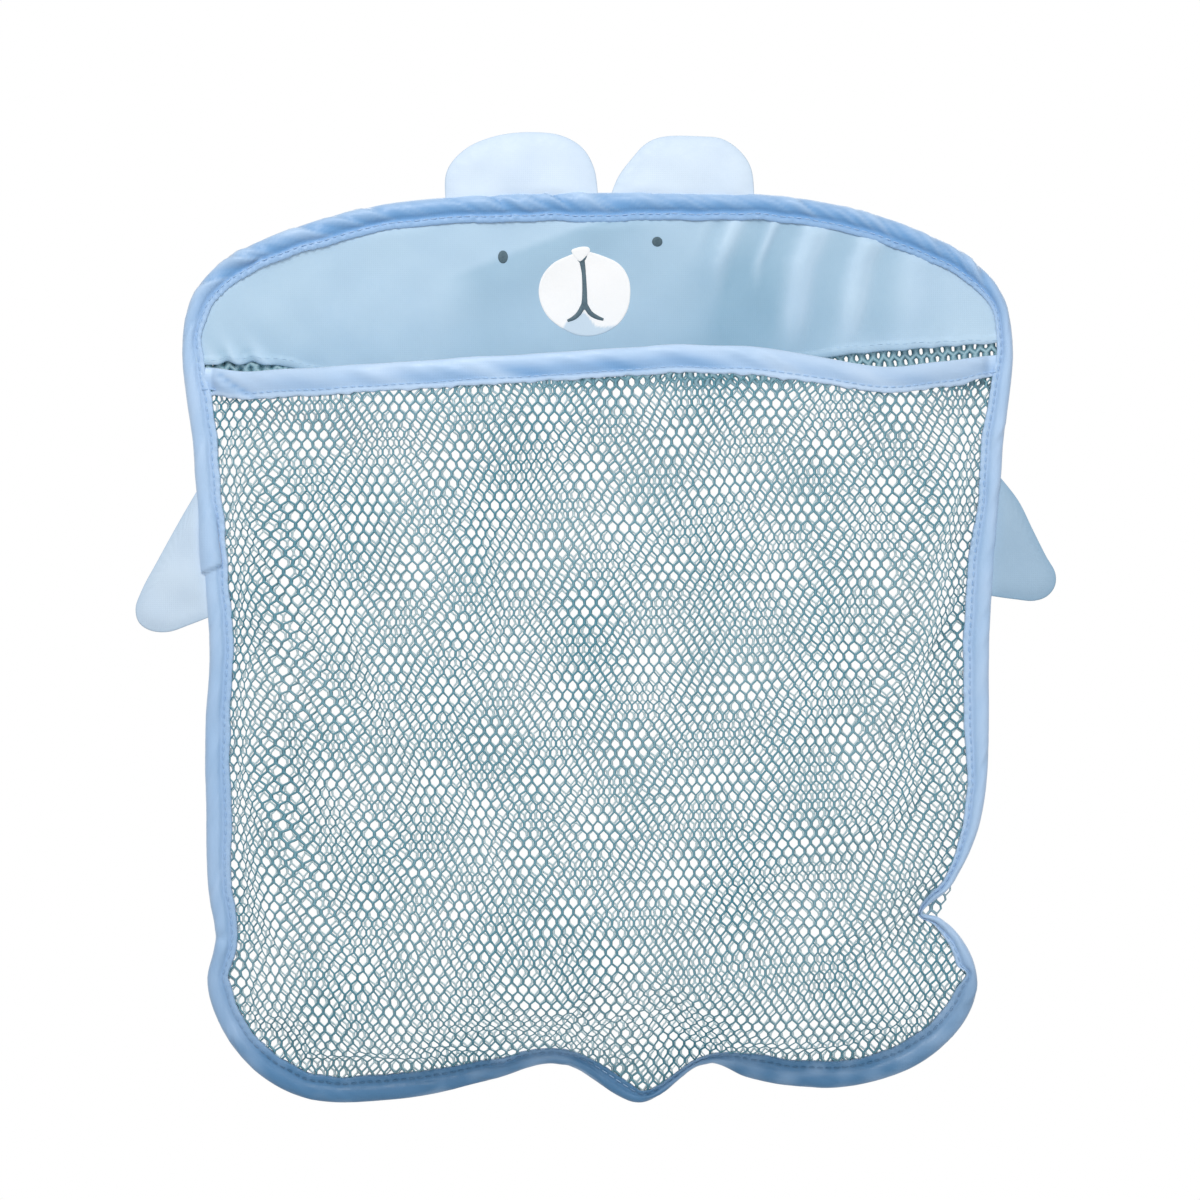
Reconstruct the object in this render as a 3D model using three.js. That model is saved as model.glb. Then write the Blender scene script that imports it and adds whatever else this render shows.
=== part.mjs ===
// A net bag for bath toys that hangs on a bathroom wall. Its outline is a bear: a cloth head with two
// ears, two small arms at the sides and two rounded feet. A slack front net makes one big pocket over
// a flat back net. All panels are sewn into one piped rim, and two cord loops behind the ears hang the
// bag on two suction cups.
// Millimetres, +Z up. The wall is the plane Y = 0 and the front faces -Y. The origin lies on the wall,
// midway between the two suction cups.

import * as THREE from "three";

// Thicknesses of the materials, and the clearance between neighbouring layers.
const GAP = 0.3;
const CLOTH = 0.6;
const NET = 0.6;
const FELT = 0.6;
const THREAD = 0.4;

// Outline of the bag, to the outer edge of its rim. The head is half a superellipse.
const HEAD_HALF_WIDTH = 160;
const CROWN_Z = -1;
const TEMPLE_Z = -61;
const HEAD_POWER = 2.6;

// Each side of the body below the temple, as [distance in from the head's widest place, height].
// The foot is a quarter ellipse from its outermost point to its sole. The crotch is placed from the middle.
const LEFT_SIDE = {
  sign: -1,
  flank: [[4, -107], [9.5, -178], [8, -225], [9.5, -268]],
  notch: [14.5, -287],
  foot: [9, -304],
  sole: [56, -350],
  crotch: [19, -335.5],
};
const RIGHT_SIDE = {
  sign: 1,
  flank: [[5.5, -107], [10, -170], [11, -222], [23, -263]],
  notch: [35, -278.5],
  foot: [15, -305.5],
  sole: [75, -345],
  crotch: [42, -336],
};
const SEWN_POINT = [15.5, -351];

// Piped rim: a cord rolled into cloth tape whose two legs grip the panels.
const RIM_WIDTH = 11;
const RIM_CORD_RADIUS = 1.6;
const RIM_STATIONS = 98;
const TURN_WEIGHT = 9;
const ROLL_FACETS = 6;
const BORE_FACETS = 5;
const CORD_FACETS = 5;

// Head panel and nets. The net's gaps are hexagons with a point at the top.
const HEM_Z = -60.5;
const SEAM_OVERLAP = 9;
const NET_PITCH = 24;
const NET_ROW = 20;
const NET_STRAND = 2.6;

// Pocket: how far the front net stands out, and its mouth.
const POCKET_DEPTH = 54;
const POCKET_REACH = 105;
const MOUTH_SHARE = 0.6;
const MOUTH_RAMP = 90;
const MOUTH_BAND_HEIGHT = 10;
const MOUTH_STATIONS = 26;
const MOUTH_END_GAP = 2;
const MOUTH_LINE = [[-150, -68], [-112, -68.5], [-65, -66.5], [15, -63], [62, -63], [112, -68], [150, -66]];

// Ears and arms: flaps of two layers of cloth, sewn to the outer edge of the rim.
const EAR_X = 31;
const EAR_WIDTH = 57;
const EAR_HEIGHT = 22;
const EAR_POWER = 2.4;
const ARM_TOP_Z = -113;
const ARM_BOTTOM_Z = -161;
const ARM_REACH = 26;
const ARM_DROOP = 4;

// Face.
const MUZZLE = { x: -6, z: -38.5, halfWidth: 17.7, halfHeight: 17 };
const NOSE = { x: -6.5, z: -24.5, halfWidth: 3.9, halfHeight: 2.7 };
const EYE_LEFT = { x: -37.3, z: -25.4, halfWidth: 1.8, halfHeight: 2.4 };
const EYE_RIGHT = { x: 22, z: -19.6, halfWidth: 2, halfHeight: 1.8 };
const MOUTH = { x: -6.3, top: -28, fork: -43.5, halfSpan: 6.6, drop: 5.5, stroke: 1.9 };

// Suction cups and the cord loops on their necks.
const CUP_X = 30;
const CUP_RADIUS = 17.5;
const CUP_RIM_WIDTH = 4;
const CUP_LIP = 0.6;
const CUP_HOLLOW = 1.6;
const CUP_HEIGHT = 5.5;
const CUP_FACETS = 24;
const NECK_RADIUS = 4.2;
const NECK_LENGTH = 3.6;
const KNOB_RADIUS = 6.6;
const KNOB_HEIGHT = 2.5;
const KNOB_EDGE = 1.8;
const LOOP_RADIUS = 1.2;
const LOOP_SPREAD = 9.5;
const LOOP_STEPS = 26;
const BAG_CLEARANCE = 2.8;

// Layers inside the rim, from its middle plane: the back net behind, the front cloth and net before.
const SLOT_HALF = NET + 1.5 * GAP;
const BACK_LAYER_Y = GAP / 2 + NET;
const FRONT_LAYER_Y = -GAP / 2;
const ROLL_BORE = RIM_CORD_RADIUS + GAP;
const ROLL_RADIUS = ROLL_BORE + CLOTH;
const PANEL_INSET = ROLL_RADIUS + RIM_CORD_RADIUS + GAP;
const RIM_INNER = RIM_WIDTH + GAP;
const KNOB_FRONT = CUP_HEIGHT + NECK_LENGTH + KNOB_HEIGHT;
const BAG_Y = -(KNOB_FRONT + BAG_CLEARANCE + ROLL_RADIUS);
const FLAP_HALF = GAP / 2 + CLOTH;

function material(color, roughness) {
  return new THREE.MeshStandardMaterial({ color, roughness, metalness: 0 });
}

const RIM_BLUE = "#9fc4ea";
const HEAD_BLUE = "#b3d0e8";
const FLAP_BLUE = "#d2e3f5";
const NET_MINT = "#bfe0e6";
const WHITE = "#f6f8fa";
const SLATE = "#4d6b80";
const CLEAR = "#e4ecee";

// A closed solid from its vertices and triangles.
function solid(positions, triangles) {
  const geometry = new THREE.BufferGeometry();
  geometry.setAttribute("position", new THREE.Float32BufferAttribute(positions, 3));
  geometry.setIndex(triangles.flat());
  geometry.computeVertexNormals();
  return geometry;
}

// The head's edge height above a given distance from the middle.
function headEdgeZ(x) {
  const across = Math.min(Math.abs(x) / HEAD_HALF_WIDTH, 1);
  return TEMPLE_Z + (CROWN_Z - TEMPLE_Z) * (1 - across ** HEAD_POWER) ** (1 / HEAD_POWER);
}

// Points of one side of the body from below the temple to the crotch.
function sidePoints({ sign, flank, notch, foot, sole, crotch }) {
  const quarter = [0, 0.25, 0.5, 0.75, 1].map((share) => {
    const angle = (share * Math.PI) / 2;
    const inward = sole[0] + (foot[0] - sole[0]) * Math.cos(angle);
    const z = foot[1] + (sole[1] - foot[1]) * Math.sin(angle);
    return [inward, z];
  });
  const body = [...flank, notch, ...quarter].map(([inward, z]) => [HEAD_HALF_WIDTH - inward, z]);
  const [soleX, soleZ] = body.at(-1);
  const instep = [(2 * crotch[0] + soleX) / 3, (2 * crotch[1] + soleZ) / 3];
  return [...body, instep, crotch].map(([x, z]) => [sign * x, z]);
}

// Clockwise outline seen from the front, with more stations where it turns.
function traceOutline() {
  const arch = [];
  for (let degrees = 180; degrees >= 0; degrees -= 15) {
    const angle = THREE.MathUtils.degToRad(degrees);
    const across = Math.sign(Math.cos(angle)) * Math.abs(Math.cos(angle)) ** (2 / HEAD_POWER);
    const x = Math.abs(across) < 1e-6 ? 0 : HEAD_HALF_WIDTH * across;
    arch.push([x, headEdgeZ(x)]);
  }
  const loop = [...arch, ...sidePoints(RIGHT_SIDE), SEWN_POINT, ...sidePoints(LEFT_SIDE).reverse()];
  const curve = new THREE.CatmullRomCurve3(loop.map(([x, z]) => new THREE.Vector3(x, 0, z)), true);
  const fine = curve.getPoints(20 * RIM_STATIONS).slice(0, -1);
  const weights = [0];
  for (let i = 0; i < fine.length; i += 1) {
    const here = fine[i];
    const next = fine[(i + 1) % fine.length];
    const after = fine[(i + 2) % fine.length];
    const step = next.clone().sub(here);
    const turn = step.angleTo(after.clone().sub(next));
    weights.push(weights[i] + step.length() + TURN_WEIGHT * turn);
  }
  const outline = [];
  let at = 0;
  for (let k = 0; k < RIM_STATIONS; k += 1) {
    const target = (weights[fine.length] * k) / RIM_STATIONS;
    while (weights[at + 1] <= target) at += 1;
    const share = (target - weights[at]) / (weights[at + 1] - weights[at]);
    const point = fine[at].clone().lerp(fine[(at + 1) % fine.length], share);
    outline.push(new THREE.Vector2(point.x, point.z));
  }
  return outline;
}

const OUTLINE = traceOutline();

const NORMALS = OUTLINE.map((_, i) => {
  const before = OUTLINE[(i + RIM_STATIONS - 1) % RIM_STATIONS];
  const after = OUTLINE[(i + 1) % RIM_STATIONS];
  const along = after.clone().sub(before).normalize();
  return new THREE.Vector2(-along.y, along.x);
});

// The outline drawn in by a distance, station by station.
function inset(distance) {
  return OUTLINE.map((point, i) => point.clone().addScaledVector(NORMALS[i], -distance));
}

// Where an inset outline crosses a height on one side of the middle.
function crossing(points, z, sign) {
  for (let i = 0; i < points.length; i += 1) {
    const a = points[i];
    const b = points[(i + 1) % points.length];
    const spans = (a.y - z) * (b.y - z) <= 0 && a.y !== b.y;
    if (spans && Math.sign(a.x) === sign && Math.sign(b.x) === sign) {
      return a.clone().lerp(b, (z - a.y) / (b.y - a.y));
    }
  }
  throw new Error(`The outline has no side at height ${z}.`);
}

// Stations of the outline below a height, from the right side round the feet to the left side.
function stationsBelow(points, z) {
  const first = points.findIndex((point) => point.x > 0 && point.y < z);
  const last = points.findLastIndex((point) => point.x < 0 && point.y < z);
  return { first, last };
}

// The rim's straight edges between stations, and those from the temples down, which carry the pocket.
const EDGES = OUTLINE.map((a, i) => {
  const b = OUTLINE[(i + 1) % RIM_STATIONS];
  return new THREE.Line3(new THREE.Vector3(a.x, 0, a.y), new THREE.Vector3(b.x, 0, b.y));
});
const POCKET_EDGES = EDGES.filter((edge) => Math.max(edge.start.z, edge.end.z) < TEMPLE_Z / 2);

// Distance of a point on the bag from the nearest of some edges.
function edgeDistance(edges, x, z) {
  const point = new THREE.Vector3(x, 0, z);
  const nearest = new THREE.Vector3();
  let least = Infinity;
  for (const edge of edges) {
    edge.closestPointToPoint(point, true, nearest);
    least = Math.min(least, nearest.distanceTo(point));
  }
  return least;
}

const mouthCurve = new THREE.SplineCurve(MOUTH_LINE.map(([x, z]) => new THREE.Vector2(x, z)));
const mouthPoints = mouthCurve.getPoints(200);

// Height of the top edge of the pocket's mouth.
function mouthTop(x) {
  const after = mouthPoints.findIndex((point) => point.x >= x);
  if (after <= 0) return mouthPoints.at(after).y;
  const a = mouthPoints[after - 1];
  const b = mouthPoints[after];
  return THREE.MathUtils.mapLinear(x, a.x, b.x, a.y, b.y);
}

// How far the front net stands out from the rim: nothing at the rim, most in the belly.
function bulge(x, z) {
  const inward = (edgeDistance(POCKET_EDGES, x, z) - RIM_INNER) / POCKET_REACH;
  const rise = 1 - (1 - THREE.MathUtils.clamp(inward, 0, 1)) ** 2;
  const belowMouth = mouthTop(x) - MOUTH_BAND_HEIGHT - 2 * GAP - z;
  const filled = THREE.MathUtils.smoothstep(belowMouth, 0, MOUTH_RAMP);
  return POCKET_DEPTH * rise * THREE.MathUtils.lerp(MOUTH_SHARE, 1, filled);
}

// Twice the area of a triangle, positive where its corners run anticlockwise.
function turnOf(a, b, c) {
  return (b.x - a.x) * (c.y - a.y) - (b.y - a.y) * (c.x - a.x);
}

// Whether a point lies inside the circle through the corners of an anticlockwise triangle.
function inCircle(a, b, c, point) {
  const rows = [a, b, c].map((corner) => {
    const from = corner.clone().sub(point);
    return new THREE.Vector3(from.x, from.y, from.lengthSq());
  });
  return rows[0].dot(rows[1].clone().cross(rows[2])) > 1e-6;
}

// Triangles between a contour and its holes, as even as these allow. An edge between two triangles
// is turned to join their far corners wherever one far corner lies in the other triangle's circle.
function evenTriangles(contour, holes) {
  const points = [...contour, ...holes.flat()];
  const faces = THREE.ShapeUtils.triangulateShape(contour, holes).map((face) => {
    const anticlockwise = turnOf(...face.map((i) => points[i])) > 0;
    return anticlockwise ? face : [...face].reverse();
  });
  const owners = new Map();
  const claim = (number) => {
    const [a, b, c] = faces[number];
    for (const [from, to, far] of [[a, b, c], [b, c, a], [c, a, b]]) {
      owners.set(`${from},${to}`, { number, from, to, far });
    }
  };
  faces.forEach((_, number) => claim(number));
  const waiting = [...owners.keys()];
  while (waiting.length > 0) {
    const edge = owners.get(waiting.pop());
    const twin = edge && owners.get(`${edge.to},${edge.from}`);
    if (!twin) continue;
    const { number, from, to, far } = edge;
    if (!inCircle(points[from], points[to], points[far], points[twin.far])) continue;
    owners.delete(`${from},${to}`);
    owners.delete(`${to},${from}`);
    faces[number] = [from, twin.far, far];
    faces[twin.number] = [twin.far, to, far];
    claim(number);
    claim(twin.number);
    waiting.push(`${from},${twin.far}`, `${far},${from}`, `${twin.far},${to}`, `${to},${far}`);
  }
  return faces;
}

// A sheet of even thickness over flat triangles, its back face at backY(x, z).
function sheet(points, triangles, thickness, backY) {
  const positions = [];
  for (const offset of [0, -thickness]) {
    for (const point of points) {
      positions.push(point.x, backY(point.x, point.y) + offset, point.y);
    }
  }
  const count = points.length;
  const faces = [];
  const edges = new Map();
  for (const triangle of triangles) {
    const anticlockwise = turnOf(...triangle.map((i) => points[i])) > 0;
    const [i, j, k] = anticlockwise ? triangle : [...triangle].reverse();
    faces.push([i + count, j + count, k + count], [k, j, i]);
    for (const [from, to] of [[i, j], [j, k], [k, i]]) edges.set(`${from},${to}`, [from, to]);
  }
  for (const [from, to] of edges.values()) {
    if (edges.has(`${to},${from}`)) continue;
    faces.push([to + count, from + count, from], [to + count, from, to]);
  }
  return solid(positions, faces);
}

// Hexagonal gaps of a net wherever room(x, z) is enough for the whole gap and a strand beside it.
function netGaps(room) {
  const peak = (2 * NET_ROW) / 3;
  const shoulder = NET_ROW - peak;
  const open = 1 - NET_STRAND / NET_PITCH;
  const half = NET_PITCH / 2;
  const corners = [
    [0, peak],
    [half, shoulder],
    [half, -shoulder],
    [0, -peak],
    [-half, -shoulder],
    [-half, shoulder],
  ];
  const rows = Math.ceil(Math.abs(SEWN_POINT[1]) / NET_ROW);
  const columns = Math.ceil(HEAD_HALF_WIDTH / NET_PITCH) + 1;
  const gaps = [];
  for (let row = 0; row <= rows; row += 1) {
    for (let column = -columns; column <= columns; column += 1) {
      const x = (column + (row % 2) / 2) * NET_PITCH;
      const z = -row * NET_ROW;
      const gap = corners.map(([u, w]) => new THREE.Vector2(x + u * open, z + w * open));
      if (gap.every((corner) => room(corner.x, corner.y) > NET_STRAND)) gaps.push(gap);
    }
  }
  return gaps;
}

// Triangles between two rows of vertex numbers of the same length.
function strip(upper, lower) {
  const triangles = [];
  for (let i = 0; i + 1 < upper.length; i += 1) {
    triangles.push([upper[i], lower[i], upper[i + 1]], [upper[i + 1], lower[i], lower[i + 1]]);
  }
  return triangles;
}

function inside(x, z) {
  return OUTLINE.reduce((within, a, i) => {
    const b = OUTLINE[(i + 1) % RIM_STATIONS];
    const crosses = a.y > z !== b.y > z && x < ((b.x - a.x) * (z - a.y)) / (b.y - a.y) + a.x;
    return crosses ? !within : within;
  }, false);
}

// Free width of net round a point, inside the rim and below a top edge.
function netRoom(topZ) {
  return (x, z) => (inside(x, z) ? Math.min(edgeDistance(EDGES, x, z) - RIM_INNER, topZ(x) - z) : -1);
}

function backNet() {
  const border = inset(PANEL_INSET);
  const topZ = HEM_Z + SEAM_OVERLAP;
  const { first, last } = stationsBelow(border, topZ);
  const contour = [
    crossing(border, topZ, 1),
    ...border.slice(first, last + 1),
    crossing(border, topZ, -1),
  ];
  const gaps = netGaps(netRoom(() => HEM_Z));
  const triangles = evenTriangles(contour, gaps);
  return sheet([...contour, ...gaps.flat()], triangles, NET, () => BACK_LAYER_Y);
}

// The front net is straight inside the rim and inside the mouth band, and bulges between them.
function frontNet() {
  const outer = inset(PANEL_INSET);
  const inner = inset(RIM_INNER);
  const netTop = (x) => mouthTop(x) - CLOTH - GAP;
  const netLow = (x) => mouthTop(x) - MOUTH_BAND_HEIGHT - 2 * GAP;
  const lowest = Math.min(...mouthPoints.map((point) => netLow(point.x)));
  const { first, last } = stationsBelow(inner, lowest);
  const outerRun = outer.slice(first, last + 1);
  const innerRun = inner.slice(first, last + 1);
  const rightTop = netTop(innerRun[0].x);
  const leftTop = netTop(innerRun.at(-1).x);
  const upperRow = [crossing(outer, rightTop, 1), crossing(inner, rightTop, 1)];
  const lowerRow = [];
  for (let k = 1; k < MOUTH_STATIONS; k += 1) {
    const x = THREE.MathUtils.lerp(innerRun[0].x, innerRun.at(-1).x, k / MOUTH_STATIONS);
    upperRow.push(new THREE.Vector2(x, netTop(x)));
    lowerRow.push(new THREE.Vector2(x, netLow(x)));
  }
  upperRow.push(crossing(inner, leftTop, -1), crossing(outer, leftTop, -1));
  const gaps = netGaps(netRoom(netLow));

  const points = [...innerRun, ...lowerRow, ...outerRun, ...upperRow, ...gaps.flat()];
  const numbers = (list) => list.map((point) => points.indexOf(point));
  const contour = [...innerRun, ...lowerRow.toReversed()];
  const within = numbers([...contour, ...gaps.flat()]);
  const field = evenTriangles(contour, gaps);
  const lowerCorners = [outerRun[0], innerRun[0], ...lowerRow, innerRun.at(-1), outerRun.at(-1)];
  const triangles = [
    ...field.map((triangle) => triangle.map((i) => within[i])),
    ...strip(numbers(outerRun), numbers(innerRun)),
    ...strip(numbers(upperRow), numbers(lowerCorners)),
  ];
  return sheet(points, triangles, NET, (x, z) => FRONT_LAYER_Y - bulge(x, z));
}

function headPanel() {
  const border = inset(PANEL_INSET);
  const { first, last } = stationsBelow(border, HEM_Z);
  const arch = [...border.slice(last + 1), ...border.slice(0, first)].filter(({ y }) => y > HEM_Z);
  const contour = [crossing(border, HEM_Z, -1), ...arch, crossing(border, HEM_Z, 1)];
  const triangles = THREE.ShapeUtils.triangulateShape(contour, []);
  return sheet(contour, triangles, CLOTH, () => FRONT_LAYER_Y);
}

// A section of [outward, forward] points carried round the closed outline.
function rimSweep(section) {
  const positions = [];
  for (let i = 0; i < RIM_STATIONS; i += 1) {
    for (const [outward, forward] of section) {
      const point = OUTLINE[i].clone().addScaledVector(NORMALS[i], outward);
      positions.push(point.x, -forward, point.y);
    }
  }
  const count = section.length;
  const triangles = [];
  for (let i = 0; i < RIM_STATIONS; i += 1) {
    const ring = i * count;
    const next = ((i + 1) % RIM_STATIONS) * count;
    for (let j = 0; j < count; j += 1) {
      const k = (j + 1) % count;
      triangles.push([ring + j, ring + k, next + j], [ring + k, next + k, next + j]);
    }
  }
  return solid(positions, triangles);
}

// Points of an arc about the middle of the roll.
function rollArc(radius, fromAngle, toAngle, facets) {
  const points = [];
  for (let i = 0; i <= facets; i += 1) {
    const angle = THREE.MathUtils.lerp(fromAngle, toAngle, i / facets);
    points.push([-ROLL_RADIUS + radius * Math.cos(angle), radius * Math.sin(angle)]);
  }
  return points;
}

// Keyhole section: a roll round the cord and two legs that grip the panels.
function rimBinding() {
  const outside = Math.PI - Math.asin((SLOT_HALF + CLOTH) / ROLL_RADIUS);
  const bore = Math.PI - Math.asin(SLOT_HALF / ROLL_BORE);
  const section = [
    [-RIM_WIDTH, -SLOT_HALF - CLOTH],
    ...rollArc(ROLL_RADIUS, -outside, outside, ROLL_FACETS),
    [-RIM_WIDTH, SLOT_HALF + CLOTH],
    [-RIM_WIDTH, SLOT_HALF],
    ...rollArc(ROLL_BORE, bore, -bore, BORE_FACETS),
    [-RIM_WIDTH, -SLOT_HALF],
  ];
  return rimSweep(section);
}

function rimCord() {
  const section = rollArc(RIM_CORD_RADIUS, -Math.PI, Math.PI, CORD_FACETS).slice(0, -1);
  return rimSweep(section);
}

// Folded tape over the top edge of the front net, bowed out with it.
function mouthBand() {
  const inner = inset(RIM_INNER + MOUTH_END_GAP);
  const right = crossing(inner, mouthTop(HEAD_HALF_WIDTH), 1).x;
  const left = crossing(inner, mouthTop(-HEAD_HALF_WIDTH), -1).x;
  const front = FRONT_LAYER_Y - NET - GAP;
  const back = FRONT_LAYER_Y + GAP;
  const section = [
    [front - CLOTH, -MOUTH_BAND_HEIGHT],
    [front, -MOUTH_BAND_HEIGHT],
    [front, -CLOTH],
    [back, -CLOTH],
    [back, -MOUTH_BAND_HEIGHT],
    [back + CLOTH, -MOUTH_BAND_HEIGHT],
    [back + CLOTH, 0],
    [front - CLOTH, 0],
  ];
  const positions = [];
  for (let k = 0; k <= MOUTH_STATIONS; k += 1) {
    const x = THREE.MathUtils.lerp(left, right, k / MOUTH_STATIONS);
    for (const [y, z] of section) {
      const height = mouthTop(x) + z;
      positions.push(x, y - bulge(x, height), height);
    }
  }
  const count = section.length;
  const triangles = [];
  for (let k = 0; k < MOUTH_STATIONS; k += 1) {
    for (let j = 0; j < count; j += 1) {
      const a = k * count + j;
      const b = k * count + ((j + 1) % count);
      triangles.push([a, b, a + count], [b, b + count, a + count]);
    }
  }
  const cap = THREE.ShapeUtils.triangulateShape(section.map(([y, z]) => new THREE.Vector2(y, z)), []);
  const end = MOUTH_STATIONS * count;
  for (const [i, j, k] of cap) triangles.push([k, j, i], [i + end, j + end, k + end]);
  return solid(positions, triangles);
}

// A flat piece cut to a shape drawn in X and Z, its back at backY.
function flatPiece(shape, thickness, backY, curveSegments) {
  const settings = { depth: thickness, bevelEnabled: false, curveSegments };
  const geometry = new THREE.ExtrudeGeometry(shape, settings);
  geometry.rotateX(Math.PI / 2);
  geometry.translate(0, backY, 0);
  return geometry;
}

function earShape() {
  const points = [];
  for (let degrees = 0; degrees <= 180; degrees += 10) {
    const angle = THREE.MathUtils.degToRad(degrees);
    const across = Math.sign(Math.cos(angle)) * Math.abs(Math.cos(angle)) ** (2 / EAR_POWER);
    const up = degrees === 180 ? 0 : Math.sin(angle) ** (2 / EAR_POWER);
    points.push(new THREE.Vector2((EAR_WIDTH / 2) * across, EAR_HEIGHT * up));
  }
  return new THREE.Shape(points);
}

// A fin that hangs a little below the lower end of its seam, with a round tip.
function armShape(sign, seam) {
  const reach = sign * ARM_REACH;
  const low = -seam - ARM_DROOP;
  const shape = new THREE.Shape();
  shape.moveTo(0, 0);
  shape.bezierCurveTo(0.55 * reach, -0.3 * seam, reach, -0.66 * seam, reach, -0.88 * seam);
  shape.bezierCurveTo(reach, low, 0.7 * reach, low, 0, -seam);
  shape.closePath();
  return shape;
}

// The two layers of a flap, one on either side of its own middle plane.
function addFlap(group, name, shape) {
  const front = new THREE.Mesh(flatPiece(shape, CLOTH, -GAP / 2, 8), material(FLAP_BLUE, 0.75));
  front.name = `${name}_front`;
  const back = new THREE.Mesh(flatPiece(shape, CLOTH, GAP / 2 + CLOTH, 8), material(FLAP_BLUE, 0.75));
  back.name = `${name}_back`;
  group.add(front, back);
}

// Ears stand on the chord of the crown, lifted clear of its highest point so that they can fold.
function ear(sign) {
  const near = EAR_X - EAR_WIDTH / 2;
  const far = EAR_X + EAR_WIDTH / 2;
  const slope = (headEdgeZ(far) - headEdgeZ(near)) / EAR_WIDTH;
  const chord = (x) => headEdgeZ(near) + slope * (x - near);
  const hump = headEdgeZ(EAR_X) - chord(EAR_X);
  const group = new THREE.Group();
  group.position.set(sign * EAR_X, 0, chord(EAR_X) + hump + FLAP_HALF + GAP / 2);
  group.rotation.y = -sign * Math.atan(slope);
  addFlap(group, sign < 0 ? "ear_left" : "ear_right", earShape());
  return group;
}

// Arms stand on the chord of the flank, clear of its outermost point between the ends of the seam.
function arm(sign) {
  const top = crossing(OUTLINE, ARM_TOP_Z, sign);
  const bottom = crossing(OUTLINE, ARM_BOTTOM_Z, sign);
  const up = top.clone().sub(bottom).normalize();
  const out = new THREE.Vector2(sign * up.y, -sign * up.x);
  const onSeam = OUTLINE.filter(({ x, y }) => x * sign > 0 && y < ARM_TOP_Z && y > ARM_BOTTOM_Z);
  const hump = Math.max(0, ...onSeam.map((point) => point.clone().sub(top).dot(out)));
  const lift = hump + FLAP_HALF + GAP / 2;
  const group = new THREE.Group();
  group.position.set(top.x + lift * out.x, 0, top.y + lift * out.y);
  group.rotation.y = Math.atan2(up.x, up.y);
  addFlap(group, sign < 0 ? "arm_left" : "arm_right", armShape(sign, top.distanceTo(bottom)));
  return group;
}

// An oval patch lying on a surface at baseY.
function patch(name, { x, z, halfWidth, halfHeight }, thickness, baseY, color) {
  const shape = new THREE.Shape();
  shape.absellipse(0, 0, halfWidth, halfHeight, 0, 2 * Math.PI);
  const mesh = new THREE.Mesh(flatPiece(shape, thickness, 0, 14), material(color, 0.9));
  mesh.name = name;
  mesh.position.set(x, baseY - GAP, z);
  return mesh;
}

// Embroidered mouth: a short stem that forks into two lips.
function mouthLine(baseY) {
  const { x, top, fork, halfSpan, drop, stroke } = MOUTH;
  const half = stroke / 2;
  const shape = new THREE.Shape();
  shape.moveTo(half, top - fork);
  shape.lineTo(half, 0);
  shape.quadraticCurveTo(halfSpan * 0.35, -drop * 0.75, halfSpan, -drop + half);
  shape.lineTo(halfSpan, -drop - half);
  shape.quadraticCurveTo(halfSpan * 0.25, -drop, 0, -stroke);
  shape.quadraticCurveTo(-halfSpan * 0.25, -drop, -halfSpan, -drop - half);
  shape.lineTo(-halfSpan, -drop + half);
  shape.quadraticCurveTo(-halfSpan * 0.35, -drop * 0.75, -half, 0);
  shape.lineTo(-half, top - fork);
  shape.closePath();
  const mesh = new THREE.Mesh(flatPiece(shape, THREAD, 0, 5), material(SLATE, 0.8));
  mesh.name = "mouth_embroidery";
  mesh.position.set(x, baseY - GAP, fork);
  return mesh;
}

// A shallow cup with a flat sealing rim, a neck and a flat knob with a rounded edge.
function suctionCup() {
  const rimInner = CUP_RADIUS - CUP_RIM_WIDTH;
  const middle = (CUP_RADIUS + NECK_RADIUS) / 2;
  const neckEnd = CUP_HEIGHT + NECK_LENGTH;
  const flatRadius = KNOB_RADIUS - KNOB_EDGE;
  const profile = new THREE.Path();
  profile.moveTo(0, -CUP_HOLLOW);
  profile.quadraticCurveTo(rimInner / 2, -CUP_HOLLOW, rimInner, 0);
  profile.lineTo(CUP_RADIUS, 0);
  profile.lineTo(CUP_RADIUS, -CUP_LIP);
  profile.bezierCurveTo(middle, -CUP_HEIGHT / 2, middle, -CUP_HEIGHT, NECK_RADIUS, -CUP_HEIGHT);
  profile.lineTo(NECK_RADIUS, -neckEnd);
  profile.lineTo(KNOB_RADIUS, -neckEnd);
  profile.lineTo(KNOB_RADIUS, KNOB_EDGE - KNOB_FRONT);
  profile.quadraticCurveTo(KNOB_RADIUS, -KNOB_FRONT, flatRadius, -KNOB_FRONT);
  profile.lineTo(0, -KNOB_FRONT);
  return new THREE.LatheGeometry(profile.getPoints(4).reverse(), CUP_FACETS);
}

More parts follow.
